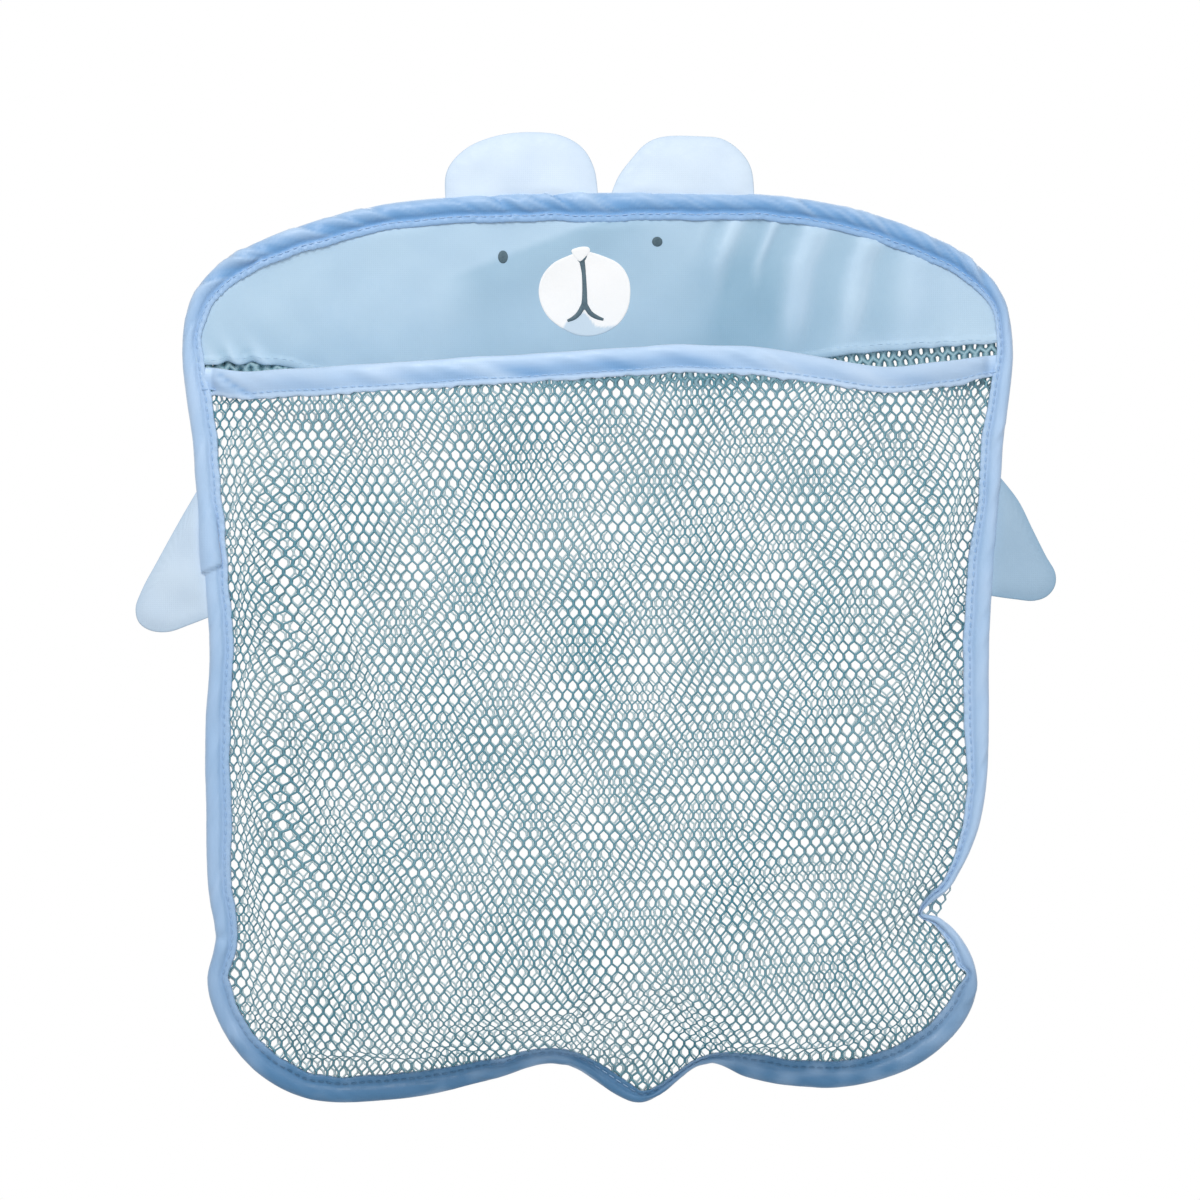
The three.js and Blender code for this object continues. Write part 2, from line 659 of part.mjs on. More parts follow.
// A cord from the back of the rim, over the neck of the cup and back to the rim.
function hangLoop(sign) {
  const neckY = -(CUP_HEIGHT + NECK_LENGTH / 2);
  const startY = BAG_Y + ROLL_RADIUS + GAP;
  const turnRadius = NECK_RADIUS + GAP + LOOP_RADIUS;
  const rollZ = (side) => headEdgeZ(sign * CUP_X + side * LOOP_SPREAD) - ROLL_RADIUS;
  const leg = (side) => [
    new THREE.Vector3(side * LOOP_SPREAD, startY, rollZ(side)),
    new THREE.Vector3(side * LOOP_SPREAD, (2 * startY + neckY) / 3, rollZ(side)),
    new THREE.Vector3(side * (turnRadius + LOOP_SPREAD) / 2, neckY, rollZ(side) / 2),
  ];
  const turn = [150, 120, 90, 60, 30].map((degrees) => {
    const angle = THREE.MathUtils.degToRad(degrees);
    return new THREE.Vector3(turnRadius * Math.cos(angle), neckY, turnRadius * Math.sin(angle));
  });
  const route = new THREE.CatmullRomCurve3([...leg(-1), ...turn, ...leg(1).reverse()]);
  const section = new THREE.Shape();
  section.absarc(0, 0, LOOP_RADIUS, 0, 2 * Math.PI);
  return new THREE.ExtrudeGeometry(section, { steps: LOOP_STEPS, extrudePath: route, curveSegments: 4 });
}

// A cup and its loop, placed on the wall.
function hanger(sign) {
  const side = sign < 0 ? "left" : "right";
  const cup = new THREE.Mesh(suctionCup(), material(CLEAR, 0.15));
  cup.name = `suction_cup_${side}`;
  const loop = new THREE.Mesh(hangLoop(sign), material(WHITE, 0.8));
  loop.name = `hang_loop_${side}`;
  const group = new THREE.Group();
  group.position.x = sign * CUP_X;
  group.add(cup, loop);
  return group;
}

function sewn(name, geometry, color, roughness) {
  const mesh = new THREE.Mesh(geometry, material(color, roughness));
  mesh.name = name;
  return mesh;
}

function face() {
  const headFront = FRONT_LAYER_Y - CLOTH;
  const muzzleFront = headFront - GAP - FELT;
  return [
    patch("muzzle_patch", MUZZLE, FELT, headFront, WHITE),
    patch("nose_patch", NOSE, FELT, muzzleFront, WHITE),
    mouthLine(muzzleFront),
    patch("eye_left", EYE_LEFT, THREAD, headFront, SLATE),
    patch("eye_right", EYE_RIGHT, THREAD, headFront, SLATE),
  ];
}

function bag() {
  const group = new THREE.Group();
  group.position.y = BAG_Y;
  group.add(
    sewn("rim_binding", rimBinding(), RIM_BLUE, 0.7),
    sewn("rim_cord", rimCord(), WHITE, 0.8),
    sewn("head_panel", headPanel(), HEAD_BLUE, 0.55),
    sewn("back_net", backNet(), NET_MINT, 0.6),
    sewn("front_net", frontNet(), NET_MINT, 0.6),
    sewn("mouth_band", mouthBand(), RIM_BLUE, 0.7),
    ...face(),
    ear(-1),
    ear(1),
    arm(-1),
    arm(1),
  );
  return group;
}

const organizer = new THREE.Group();
organizer.add(bag(), hanger(-1), hanger(1));

export default organizer;
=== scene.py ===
import math

import bpy
import numpy as np
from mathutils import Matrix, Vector
from mathutils.bvhtree import BVHTree
from mathutils.geometry import delaunay_2d_cdt


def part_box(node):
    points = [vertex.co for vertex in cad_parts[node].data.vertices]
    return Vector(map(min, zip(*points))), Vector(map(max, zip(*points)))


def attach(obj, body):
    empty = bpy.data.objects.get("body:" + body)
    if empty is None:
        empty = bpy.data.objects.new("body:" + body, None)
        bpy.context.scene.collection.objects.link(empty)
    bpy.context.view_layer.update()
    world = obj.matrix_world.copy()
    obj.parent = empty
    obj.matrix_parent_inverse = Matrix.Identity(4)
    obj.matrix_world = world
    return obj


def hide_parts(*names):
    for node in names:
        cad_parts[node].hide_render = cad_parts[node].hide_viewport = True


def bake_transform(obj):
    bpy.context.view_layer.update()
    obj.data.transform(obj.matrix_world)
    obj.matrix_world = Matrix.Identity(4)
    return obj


# A bear-shaped net bag that hangs by two cord loops on suction cups.
# All sizes are in millimetres until a mesh is made. The cups stand on the plane Y = 0, the front faces -Y.
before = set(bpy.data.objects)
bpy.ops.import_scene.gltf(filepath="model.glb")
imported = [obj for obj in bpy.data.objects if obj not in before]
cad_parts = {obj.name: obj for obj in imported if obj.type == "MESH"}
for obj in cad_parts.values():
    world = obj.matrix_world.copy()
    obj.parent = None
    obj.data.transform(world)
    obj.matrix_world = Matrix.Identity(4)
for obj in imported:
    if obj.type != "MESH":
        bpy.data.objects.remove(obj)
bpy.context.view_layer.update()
MM = 0.001

# Outline of the bag, to the outer edge of its rim, as in the solids.
HEAD_HALF_WIDTH = 160
CROWN_Z = -1
TEMPLE_Z = -61
HEAD_POWER = 2.6
LEFT_SIDE = {
    "sign": -1,
    "flank": [(4, -107), (9.5, -178), (8, -225), (9.5, -268)],
    "notch": [(13, -287)],
    "foot": (9, -304),
    "sole": (56, -350),
    "crotch": (19, -335.5),
}
RIGHT_SIDE = {
    "sign": 1,
    "flank": [(5.5, -107), (10, -170), (11, -222), (23, -263)],
    "notch": [(26.6, -269), (36.6, -278), (29.6, -281.2), (20, -293)],
    "foot": (15, -305.5),
    "sole": (75, -345),
    "crotch": (42, -336),
}
SEWN_POINT = (15.5, -351)
RIM_STEP = 0.9
# How far the sewn edge strays from that outline, outward being positive: X, Z and the distance.
STRAYS = [
    (-160, -56, 0.9), (-149, -31, 0.3), (-122, -15, -1.0), (-101, -9, -0.4), (-80, -5, 0.4), (-45, -2, 0.2),
    (45, -2, 0.6), (60, -3, 1.8), (82, -5, 1.7), (103, -9, 1.0), (124, -15.5, -0.2), (143, -25, -0.6),
    (159, -52, -1.2), (159, -74, -1.2), (156, -95, -0.8), (154, -107, 0), (150, -180, -0.2),
    (150, -208, -0.7), (149, -222, 0), (146, -235, 1.5), (143.4, -245.3, 2.2), (140, -255.5, 1.6),
    (135.8, -265.5, 0.2), (126, -276, 0), (130.4, -281.2, 1.4), (135, -286, 2.4), (141, -295, 2.1),
    (145, -305, 0), (137.6, -324.6, -1.2), (120, -337, -0.4), (80, -345, 0), (68, -342, 1.6),
    (57, -339, 2.0), (47, -336, 0.1), (36.7, -338, -1.2), (28, -345, -1.0), (15.5, -351, -0.3),
    (-1, -344, -1.3), (-10, -338.6, -1.7), (-20, -335.4, 0.2), (-34, -337, 2.3), (-45, -340, 2.6),
    (-63, -343, 3.6), (-73, -345.6, 3.2), (-84, -348, 2.1), (-105, -350, 0.3), (-126, -344.5, -1.2),
    (-139, -335, -2.0), (-148, -321, -1.6), (-150.5, -305, 0), (-147.5, -285, 1.0), (-150, -268, 0.2),
    (-152, -236, -0.5), (-151, -200, 0.6), (-150.5, -178, -0.4), (-156, -107, 0), (-157, -96, -0.5),
    (-160, -70, 0.3),
]
STRAY_REACH = 4

# Depths of the layers, forward being negative.
RIM_LOW, RIM_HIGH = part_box("rim_binding")
BAG_Y = (RIM_LOW[1] + RIM_HIGH[1]) / 2 / MM
LAYER = 0.45
FRONT_Y = BAG_Y - LAYER
BACK_Y = BAG_Y + LAYER
HEAD_Y = FRONT_Y - 0.3
NET_Y = FRONT_Y - 0.2

# Rolled tape round the outline: a puffy roll, a stitched groove and a flat flange. X, Z and the width.
RIM_WIDTHS = [
    (0, -1, 11.4), (40, -1, 10.2), (110, -12, 9.9), (131, -19, 9.6), (147, -30, 8.0), (157, -46, 5.8),
    (159.5, -61, 6.0), (158, -76, 8.0), (155, -104, 8.3), (153, -124, 8.3), (151, -145, 10),
    (150, -190, 10), (150, -208, 9.3), (149, -225, 8.0), (146, -244, 6.4), (138, -262, 4.2),
    (125, -276, 3.4), (134, -284, 4.6), (140, -289, 6.2), (145, -304, 7.6), (141, -318, 9.4),
    (130, -331, 10.2), (85, -345, 10.2), (58, -341, 10), (51, -339, 8.0), (44, -336, 3.4), (28, -344, 2.8),
    (18, -350, 3.8), (9, -349, 6.8), (0, -343, 7.2), (-10, -337, 5.6), (-27, -337, 6.2), (-46, -343, 8.2),
    (-65, -347, 9.6), (-104, -350, 10.1), (-136, -335, 9.8), (-149, -312, 9), (-149, -297, 8),
    (-149.5, -284, 8.8), (-150, -262, 9.4), (-152, -235, 9.9), (-151, -190, 9.2), (-151, -155, 9.2),
    (-156, -107, 9.6), (-157.5, -80, 9.6), (-160, -56, 7.2), (-153, -40, 9.1), (-127, -18, 10.3),
    (-60, -3, 10.3),
]
WIDTH_REACH = 6
NOTCH = (123.4, -278)
FOOT_TAB = (144.5, -300)
# Where the tape is nipped: X, Z, how much narrower it is, and how far that reaches before and after.
TAPE_NIPS = [(*NOTCH, 1.9, 5, 7), (*FOOT_TAB, 3.2, 2.6, 5)]
ROLL_HALF = 2.6
ROLL_POINTS = 19
FLANGE = 3.4
FLANGE_SHARE = 0.33
FLANGE_HALF = 1.75
SEAM_SHARE = 0.72
THROAT_HALF = 1.2
# Section of the flange: how far in from its edge, its height, fraying and pucker, and its painted shade, a
# deeper blue towards the groove.
FLANGE_SECTION = np.array([
    (0.05, 1.25, 1, 0.4, 0.6),
    (-0.25, 1.62, 0.8, 1, 0.6),
    (-1.2, FLANGE_HALF, 0.2, 0.5, 0.7),
    (-2.2, 1.55, 0, -0.6, 0.9),
    (-3.0, 1.22, 0, 0, 1.3),
])
# Wrinkles of the roll: the longest and the shortest wavelength, and the size.
WRINKLES = [(30, 20, 0.8), (18, 11, 0.5), (9, 6, 0.2)]
SLOT_HALF = 1.0
TAPE_THICKNESS = 0.8
CORD_RADIUS = 1.5
CORD_SIDES = 9
STITCH_PITCH = 3.2
STITCH_LENGTH = 2.4
THREAD_RADIUS = 0.22
HEM_THREAD_RADIUS = 0.13
THREAD_SIDES = 6
# A stitch: shares of its length, and the thread's width and rise there in radii.
STITCH = np.array([
    (-0.5, 0.35, -1.3), (-0.42, 0.85, -0.4), (-0.2, 1, 0.35),
    (0.2, 1, 0.35), (0.42, 0.85, -0.4), (0.5, 0.35, -1.3),
])

# Nets: hexagonal cells with a point at the top. Links are upright strands, a selvedge is a thicker edge.
NET_PITCH = 4.15
NET_ROW = 3.45
NET_STRAND = 0.92
NET_LINK = 0.4
NET_HALF = 0.28
NET_SELVEDGE = 1.9
NET_JITTER = 0.11
STRAND_TAKES = 0.85
LINK_TAKES = 1.1
CUT_Z = -190
LEAST_INSET = 2.6
BACK_NET_TUCK = 4
BACK_NET_TURN = 6
FRONT_NET_TUCK = 2.6
FRONT_NET_TURN = -1
NOTCH_SLACK = np.array([(120, -277.5), (126, -270), (133.6, -266), (132.8, -273), (131.4, -281), (124, -281)])
SLACK_MIDDLE = (130, -274)

# Pocket.
POCKET_DEPTH = 54
POCKET_START = 1.2
POCKET_REACH = 105
MOUTH_SHARE = 0.6
MOUTH_RAMP = 90
BAND_HEIGHT = 10
SEWN_IN = 2
BAND_ENDS = (-153.4, 154)
BAND_STEP = 0.9
MOUTH_LINE = [
    (-154, -67.8), (-148, -68), (-138.5, -69), (-115.4, -69.3), (-92.3, -68.3), (-69, -67.2),
    (-38.5, -65.1), (-7.7, -63.4), (15.4, -61.6), (38.5, -61), (61.5, -61.8), (84.6, -65.3), (107.7, -68.4),
    (130.8, -66.4), (144, -64.2), (155, -63.3),
]
# Front of the band: the height, the thickness, how much it puckers and how much it frays there.
BAND_SECTION = np.array([
    (-10.0, 0.85, 0.5, 1), (-9.7, 1.25, 1, 1), (-8.8, 1.35, 0.6, 0.3), (-7.8, 1.1, -0.5, 0),
    (-6.8, 1.4, 0.4, 0), (-5.2, 1.75, 0, 0), (-3.6, 1.85, 0, 0), (-2.2, 1.7, 0, 0),
])
BAND_SLOT = [(-0.6, -9.8), (-0.6, -2), (0.6, -2), (0.6, -9.8)]
BAND_SEAM = 7.8
# Painted light and shade round the band's section, from the front's lower edge on, as shares of a deeper
# blue: pale along the lower edge and over the top fold, deepest across the front.
BAND_SHADE = [0.1, 0.1, 0.3, 1.2, 1.3, 1.2, 0.8, 0.4, 0.15, 0.05, 0.05, 0.3, 0.6]

# Head cloth and its hem. A fold has a middle, a height, a breadth, a lean and a lower end.
HEAD_COLUMNS = 301
HEAD_ROWS = np.concatenate([[0, 0.012, 0.03, 0.05, 0.06, 0.075], np.linspace(0.1, 1, 38)])
HEM_SEAM_ROW = 4
HEAD_FOLDS = [
    (34.5, 0.7, 2.2, 0.15, -36), (45.2, 1.5, 3.4, 0.15, -54), (60.6, 1.5, 1.8, 0.12, -46),
    (77.6, 1.9, 4.8, 0.14, -78), (100, 1.9, 4.2, 0.18, -76), (122, 1.1, 7.0, 0.1, -72),
]
HEM_LINE = [
    (-156, -66.8), (-140, -67), (-128, -67.1), (-119, -67.9), (-114, -69.6), (-106, -71), (-60, -70),
    (30, -67.5), (80, -65.4), (90, -63.8), (125, -61), (156, -58.5),
]
HEM_WAVE = 11.5
# Where the hem's left end is drawn up, and where it hangs: the place, the height and the half breadth.
HEM_SCALLOPS = [(-143.2, 1.5, 2.2), (-133.7, 1.4, 2.6), (-124.5, 0.3, 2.4)]
HEM_TIPS = [(-147.6, 1.0, 2.3), (-138.6, 1.0, 2.6), (-128.6, 0.8, 3.2)]

# Flaps: the outline from one end of the seam to the other, the bend's start and end, and the painted shade,
# darkest on the right arm, away from the light.
FLAPS = {
    "ear_left": ([
        (-59.4, -6), (-59.3, 6.2), (-56.6, 11.6), (-50, 17.3), (-38.5, 21.5),
        (-25, 22.6), (-14.6, 21.2), (-6.8, 16.6), (-2.3, 8.8), (-0.5, -3.5),
    ], (-31, -2), (-31, 1.2), 0.0),
    "ear_right": ([
        (3.4, -3.5), (7.1, 5.6), (12, 12.2), (17.4, 18), (23.5, 20.7),
        (38.5, 21), (47, 20), (53.6, 15.6), (58, 9), (59.6, -6),
    ], (31, -2), (31, 1.2), 0.03),
    "arm_left": ([
        (-153, -112), (-161.5, -126.5), (-170, -141.9), (-176.2, -153.5), (-178.6, -160.6),
        (-177.3, -166), (-173, -169), (-166.2, -169.6), (-157.7, -166.8), (-148, -163),
    ], (-153.5, -137), (-157.5, -137.3), 0.25),
    "arm_right": ([
        (153, -109), (160.8, -119), (166.4, -130.2), (171.4, -140.2), (175.1, -147),
        (174.9, -152), (172, -155.8), (167, -157.6), (159.4, -157), (148, -155.4),
    ], (152, -135), (156, -135.3), 0.85),
}
FLAP_RINGS = np.concatenate([np.linspace(0.02, 0.8, 12), [0.87, 0.92, 0.955, 0.98, 1.0]])
BACK_PUFF = 0.65
SEAM_HALF = 0.75
CLOTH = 0.5

# Face.
MUZZLE = [
    (-23.6, -38), (-22.2, -32.8), (-18.1, -28), (-11.9, -24.9), (-6.6, -23.2), (1.7, -25.3), (7.6, -28.4),
    (10.9, -33.4), (11.7, -39.5), (10.4, -46.2), (6.2, -52), (-1.2, -55.5), (-8.2, -55.6), (-14.7, -52.8),
    (-20.2, -48.2), (-22.9, -43),
]
# The upper edge of the painted shadow on the muzzle, below the mouth.
CHIN = [
    (-16, -53.5), (-14.3, -52.4), (-12.4, -50.1), (-8.6, -48.4), (-6.2, -46.5), (-4.4, -48.4), (-3, -50.3),
    (-1.8, -51.9), (1.2, -52.3), (6.4, -51.7), (9, -50.5),
]
NOSE = [
    (-11, -23), (-9.1, -22), (-6.3, -21.5), (-4.4, -21.8), (-3.8, -23), (-4.9, -24.9), (-7.6, -27.3),
    (-10.3, -24.7),
]
FELT_THICKNESS = 0.16
DOME_RINGS = np.concatenate([np.linspace(0.03, 0.92, 24), [0.95, 0.98, 1.0]])
EYES = {"eye_left": ((-37.3, -25.4), (1.9, 2.5)), "eye_right": ((22, -19.6), (2.0, 1.9))}
EYE_SIDES = 40
EYE_RIBS = 0.55
# Strokes of the mouth and below the nose, with their half widths along them.
STROKES = [
    ([(-6.9, -27), (-6.3, -31), (-6, -35.7), (-5.9, -40.4), (-6.05, -45.6)], [1.05, 0.8, 0.85, 1.0, 1.35]),
    ([(-6.9, -27.3), (-5.8, -26), (-4.9, -24.5)], [0.55, 0.42, 0.15]),
    ([(-7.7, -27.5), (-9, -26.1), (-10.6, -24)], [0.2, 0.13, 0.08]),
    ([(-6.2, -43.6), (-8.2, -47.2), (-10.3, -49), (-12.5, -50)], [0.95, 0.95, 0.85, 0.5]),
    ([(-5.8, -43.6), (-3.7, -47), (-1.2, -48.6), (1.3, -49.5)], [0.95, 0.95, 0.85, 0.5]),
]

# Hangers.
CUP_X = 30
CUP_RADIUS = 17.5
CUP_HEIGHT = 5.5
CUP_RING = 4
CUP_SIDES = 72
NECK_RADIUS = 4.2
NECK_LENGTH = 3.6
KNOB_RADIUS = 6.6
KNOB_HEIGHT = 2.5
LOOP_RADIUS = 1.15
LOOP_SPREAD = 9.5
LOOP_GAP = 0.3
LOOP_SIDES = 12

# Camera, light and floor. Each lamp has a place, a size and a power.
FRAME_PIXELS = 1200
PIXELS_PER_MM = 2.6
CENTRE_PIXEL = 600
CUPS_PIXEL_Y = 191
CAMERA_DISTANCE = 1.6
SENSOR = 36
LAMPS = {
    "key": ((-0.26, -0.82, 0.5), 0.4, 5.3),
    "fill": ((0.7, -1.2, 0.1), 1.0, 4.3),
    "back": ((0.2, 0.9, 0.5), 1.0, 4.5),
}
AMBIENT = 0.4
FLOOR_Z = -560
FLOOR_Y = -60
FLOOR_RADIUS = 900
FLOOR_ROWS, FLOOR_SIDES = 20, 96


def smoothstep(value, low, high):
    share = np.clip((value - low) / (high - low), 0, 1)
    return share * share * (3 - 2 * share)


def plateau(value, rise, risen, fall, fallen):
    """1 between a rise and a fall, and 0 beyond them."""
    return smoothstep(value, rise, risen) * (1 - smoothstep(value, fall, fallen))


def hump(distance, breadth):
    """1 at no distance, and less and less beyond a breadth."""
    return np.exp(-((distance / breadth) ** 2))


def humps(x, table):
    """Sum of smooth humps, each with its place, height and half breadth."""
    return sum(height * hump(x - place, breadth) for place, height, breadth in table)


def unit(vectors):
    return vectors / np.linalg.norm(vectors, axis=-1, keepdims=True)


def catmull_rom(points, steps, closed=False):
    """A centripetal Catmull-Rom curve through some points."""
    points = np.asarray(points, float)
    count = len(points)
    if closed:
        p0, p1, p2, p3 = (points[(np.arange(count) + k) % count] for k in (-1, 0, 1, 2))
    else:
        ends = np.vstack([2 * points[0] - points[1], points, 2 * points[-1] - points[-2]])
        p0, p1, p2, p3 = (ends[k : k + count - 1] for k in range(4))
    d0, d1, d2 = (np.sqrt(np.linalg.norm(b - a, axis=1))[:, None] for a, b in ((p0, p1), (p1, p2), (p2, p3)))
    t1 = ((p1 - p0) / d0 - (p2 - p0) / (d0 + d1) + (p2 - p1) / d1) * d1
    t2 = ((p2 - p1) / d1 - (p3 - p1) / (d1 + d2) + (p3 - p2) / d2) * d1
    t = (np.arange(steps) / steps)[None, :, None]
    p1, p2, t1, t2 = (value[:, None, :] for value in (p1, p2, t1, t2))
    square, cube = t**2, t**3
    curve = (2 * cube - 3 * square + 1) * p1 + (cube - 2 * square + t) * t1
    curve = curve + (3 * square - 2 * cube) * p2 + (cube - square) * t2
    curve = curve.reshape(-1, points.shape[1])
    return curve if closed else np.vstack([curve, points[-1]])


def round_angles(count):
    return np.arange(count) * 2 * np.pi / count


def distances(line):
    """Distance along a line to each of its points."""
    return np.concatenate([[0], np.cumsum(np.linalg.norm(np.diff(line, axis=0), axis=1))])


def points_at(at, along, line):
    return np.column_stack([np.interp(at, along, column) for column in line.T])


def close(loop):
    return np.vstack([loop, loop[:1]])


def even_steps(line, spacing, closed=False):
    """The same line with its points at even distances."""
    whole = close(line) if closed else line
    along = distances(whole)
    out = points_at(np.linspace(0, along[-1], max(2, round(along[-1] / spacing)) + 1), along, whole)
    return out[:-1] if closed else out


def soft_noise(u, v, wavelength, seed):
    """Smooth noise of about unit size over a plane."""
    waves = 14
    random = np.random.default_rng(seed)
    angles = random.random(waves) * 2 * np.pi
    lengths = wavelength * (0.7 + 0.7 * random.random(waves))
    phases = random.random(waves) * 2 * np.pi
    total = 0
    for angle, length, phase in zip(angles, lengths, phases):
        total = total + np.sin(2 * np.pi * (u * math.cos(angle) + v * math.sin(angle)) / length + phase)
    return total / math.sqrt(waves / 2)


def inside(points, loop):
    """Whether points lie inside a closed loop."""
    within = np.zeros(len(points), bool)
    for (ax, az), (bx, bz) in zip(loop, np.roll(loop, -1, axis=0)):
        if az == bz:
            continue
        spans = (az > points[:, 1]) != (bz > points[:, 1])
        within ^= spans & (points[:, 0] < (bx - ax) * (points[:, 1] - az) / (bz - az) + ax)
    return within


def line_distance(points, line):
    """Distance of points from a line of straight pieces."""
    least = np.full(points.shape[:-1], np.inf)
    for a, b in zip(line[:-1], line[1:]):
        along = b - a
        share = np.clip(((points - a) @ along) / max(along @ along, 1e-9), 0, 1)
        least = np.minimum(least, np.linalg.norm(points - a - share[..., None] * along, axis=-1))
    return least


def rings_in(loop, shares):
    """Copies of a loop, drawn in to its middle by some shares."""
    centre = loop.mean(0)
    return centre + (loop - centre)[None] * shares[:, None, None]


def along_line(line):
    """Height of a smooth line over X."""
    curve = catmull_rom(line, 20)
    return lambda x: np.interp(x, curve[:, 0], curve[:, 1])


mouth_top = along_line(MOUTH_LINE)
hem_low = along_line(HEM_LINE)


def sewn_top(x):
    """Height at which the front net is sewn into the mouth band."""
    return mouth_top(x) - BAND_HEIGHT + SEWN_IN


# Outline.
def head_edge(x):
    across = np.minimum(np.abs(x) / HEAD_HALF_WIDTH, 1)
    return TEMPLE_Z + (CROWN_Z - TEMPLE_Z) * (1 - across**HEAD_POWER) ** (1 / HEAD_POWER)


def side_points(side):
    angles = np.radians([0, 22.5, 45, 67.5, 90])
    (foot_in, foot_z), (sole_in, sole_z) = side["foot"], side["sole"]
    quarter = np.column_stack([
        sole_in + (foot_in - sole_in) * np.cos(angles),
        foot_z + (sole_z - foot_z) * np.sin(angles),
    ])
    body = np.vstack([side["flank"], side["notch"], quarter])
    body[:, 0] = HEAD_HALF_WIDTH - body[:, 0]
    crotch = np.array(side["crotch"])
    points = np.vstack([body, (2 * crotch + body[-1]) / 3, crotch])
    points[:, 0] *= side["sign"]
    return points


def outward(line):
    """Outward normals of a loop that runs clockwise as seen from the front."""
    along = np.roll(line, -2, axis=0) - np.roll(line, 2, axis=0)
    return unit(np.column_stack([-along[:, 1], along[:, 0]]))


def nearest(loop, x, z):
    return np.argmin(np.hypot(loop[:, 0] - x, loop[:, 1] - z))


def round_loop(table, loop, along, total, reach):
    """Values at places round a loop, carried to each of its stations and smoothed over some of them."""
    stations = [along[nearest(loop, x, z)] for x, z, _ in table]
    values = np.interp(along, stations, [value for *_, value in table], period=total)
    return sum(np.roll(values, k) for k in range(-reach, reach + 1)) / (2 * reach + 1)


def outline():
    angles = np.radians(np.arange(180, -1, -15))
    across = np.sign(np.cos(angles)) * np.abs(np.cos(angles)) ** (2 / HEAD_POWER)
    across[np.abs(across) < 1e-6] = 0
    arch = np.column_stack([HEAD_HALF_WIDTH * across, head_edge(HEAD_HALF_WIDTH * across)])
    loop = np.vstack([arch, side_points(RIGHT_SIDE), [SEWN_POINT], side_points(LEFT_SIDE)[::-1]])
    loop = even_steps(catmull_rom(loop, 40, closed=True), RIM_STEP, closed=True)
    stray = round_loop(STRAYS, loop, np.arange(len(loop)), len(loop), STRAY_REACH)
    return even_steps(loop + outward(loop) * stray[:, None], RIM_STEP, closed=True)


RIM = outline()
RIM_OUT = outward(RIM)
RIM_LENGTH = float(np.linalg.norm(np.roll(RIM, -1, axis=0) - RIM, axis=1).sum())
RIM_ALONG = np.arange(len(RIM)) * RIM_LENGTH / len(RIM)


def inset(distance, every=4):
    """The outline drawn in by a distance for each station."""
    return (RIM - RIM_OUT * distance[:, None])[::every]


def distance_along(x, z):
    """Distance along the rim, with its sign, from the station nearest to a place."""
    start = RIM_ALONG[nearest(RIM, x, z)]
    return (RIM_ALONG - start + RIM_LENGTH / 2) % RIM_LENGTH - RIM_LENGTH / 2


def rim_noise(shortest, longest, seed, waves=9):
    """Smooth noise of about unit size along the rim, which closes on itself."""
    random = np.random.default_rng(seed)
    counts = random.integers(max(1, round(RIM_LENGTH / longest)), round(RIM_LENGTH / shortest) + 1, waves)
    phases = random.random(waves) * 2 * np.pi
    total = sum(np.sin(2 * np.pi * n * RIM_ALONG / RIM_LENGTH + p) for n, p in zip(counts, phases))
    return total / math.sqrt(waves / 2)


def rim_widths():
    """Width of the tape at each station."""
    widths = round_loop(RIM_WIDTHS, RIM, RIM_ALONG, RIM_LENGTH, WIDTH_REACH)
    for x, z, cut, before, after in TAPE_NIPS:
        away = distance_along(x, z)
        widths = widths - cut * hump(away, np.where(away < 0, before, after))
    return widths + 0.16 * rim_noise(14, 60, 3)


RIM_WIDTH = rim_widths()
TAPE_EDGE = RIM - RIM_OUT * RIM_WIDTH[:, None]
FIRST_LOW = int(np.argmax((RIM[:, 0] > 0) & (RIM[:, 1] < TEMPLE_Z / 2)))
LAST_LOW = len(RIM) - int(np.argmax((RIM[::-1, 0] < 0) & (RIM[::-1, 1] < TEMPLE_Z / 2)))
POCKET_EDGE = TAPE_EDGE[FIRST_LOW:LAST_LOW:4]


def bulge(x, z):
    """How far the front net stands out from the rim."""
    points = np.column_stack([x, z])
    inward = line_distance(points, POCKET_EDGE) - POCKET_START
    inward = inward * inside(points, TAPE_EDGE[::4]) / POCKET_REACH
    rise = 1 - (1 - np.clip(inward, 0, 1)) ** 2
    filled = smoothstep(mouth_top(x) - BAND_HEIGHT - z, 0, MOUTH_RAMP)
    return POCKET_DEPTH * rise * (MOUTH_SHARE + (1 - MOUTH_SHARE) * filled)


# Meshes.
def grid_faces(rows, columns, close_rows=False, close_columns=False, first=0):
    """Quads over a grid of vertices numbered row by row."""
    row = np.arange(rows if close_rows else rows - 1)[:, None]
    column = np.arange(columns if close_columns else columns - 1)[None, :]
    next_row, next_column = (row + 1) % rows, (column + 1) % columns
    corners = [
        row * columns + column,
        row * columns + next_column,
        next_row * columns + next_column,
        next_row * columns + column,
    ]
    return np.stack([np.broadcast_to(c, (row.size, column.size)) for c in corners], -1).reshape(-1, 4) + first


def caps(rows, columns, first=0):
    """Faces that close the two ends of a round grid."""
    last = first + (rows - 1) * columns
    return [list(range(first, first + columns))[::-1], list(range(last, last + columns))]


def make_piece(name, points, faces, material, shade=None, shade_and_tone=None):
    """A smooth mesh object from points in millimetres."""
    mesh = bpy.data.meshes.new(name)
    vertices = (np.reshape(points, (-1, 3)) * MM).tolist()
    mesh.from_pydata(vertices, [], [list(map(int, face)) for face in faces])
    mesh.materials.append(material)
    mesh.shade_smooth()
    for key, values in (("shade", shade), ("shade_and_tone", shade_and_tone)):
        if values is not None:
            data = mesh.attributes.new(key, "FLOAT", "POINT").data
            data.foreach_set("value", np.asarray(values, np.float32).ravel())
    mesh.validate()
    made = bpy.data.objects.new(name, mesh)
    bpy.context.scene.collection.objects.link(made)
    return made


def stand_for(made, node_name, body="bag"):
    """Hides the part that a piece replaces, and attaches the piece to its body."""
    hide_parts(node_name)
    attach(made, body)


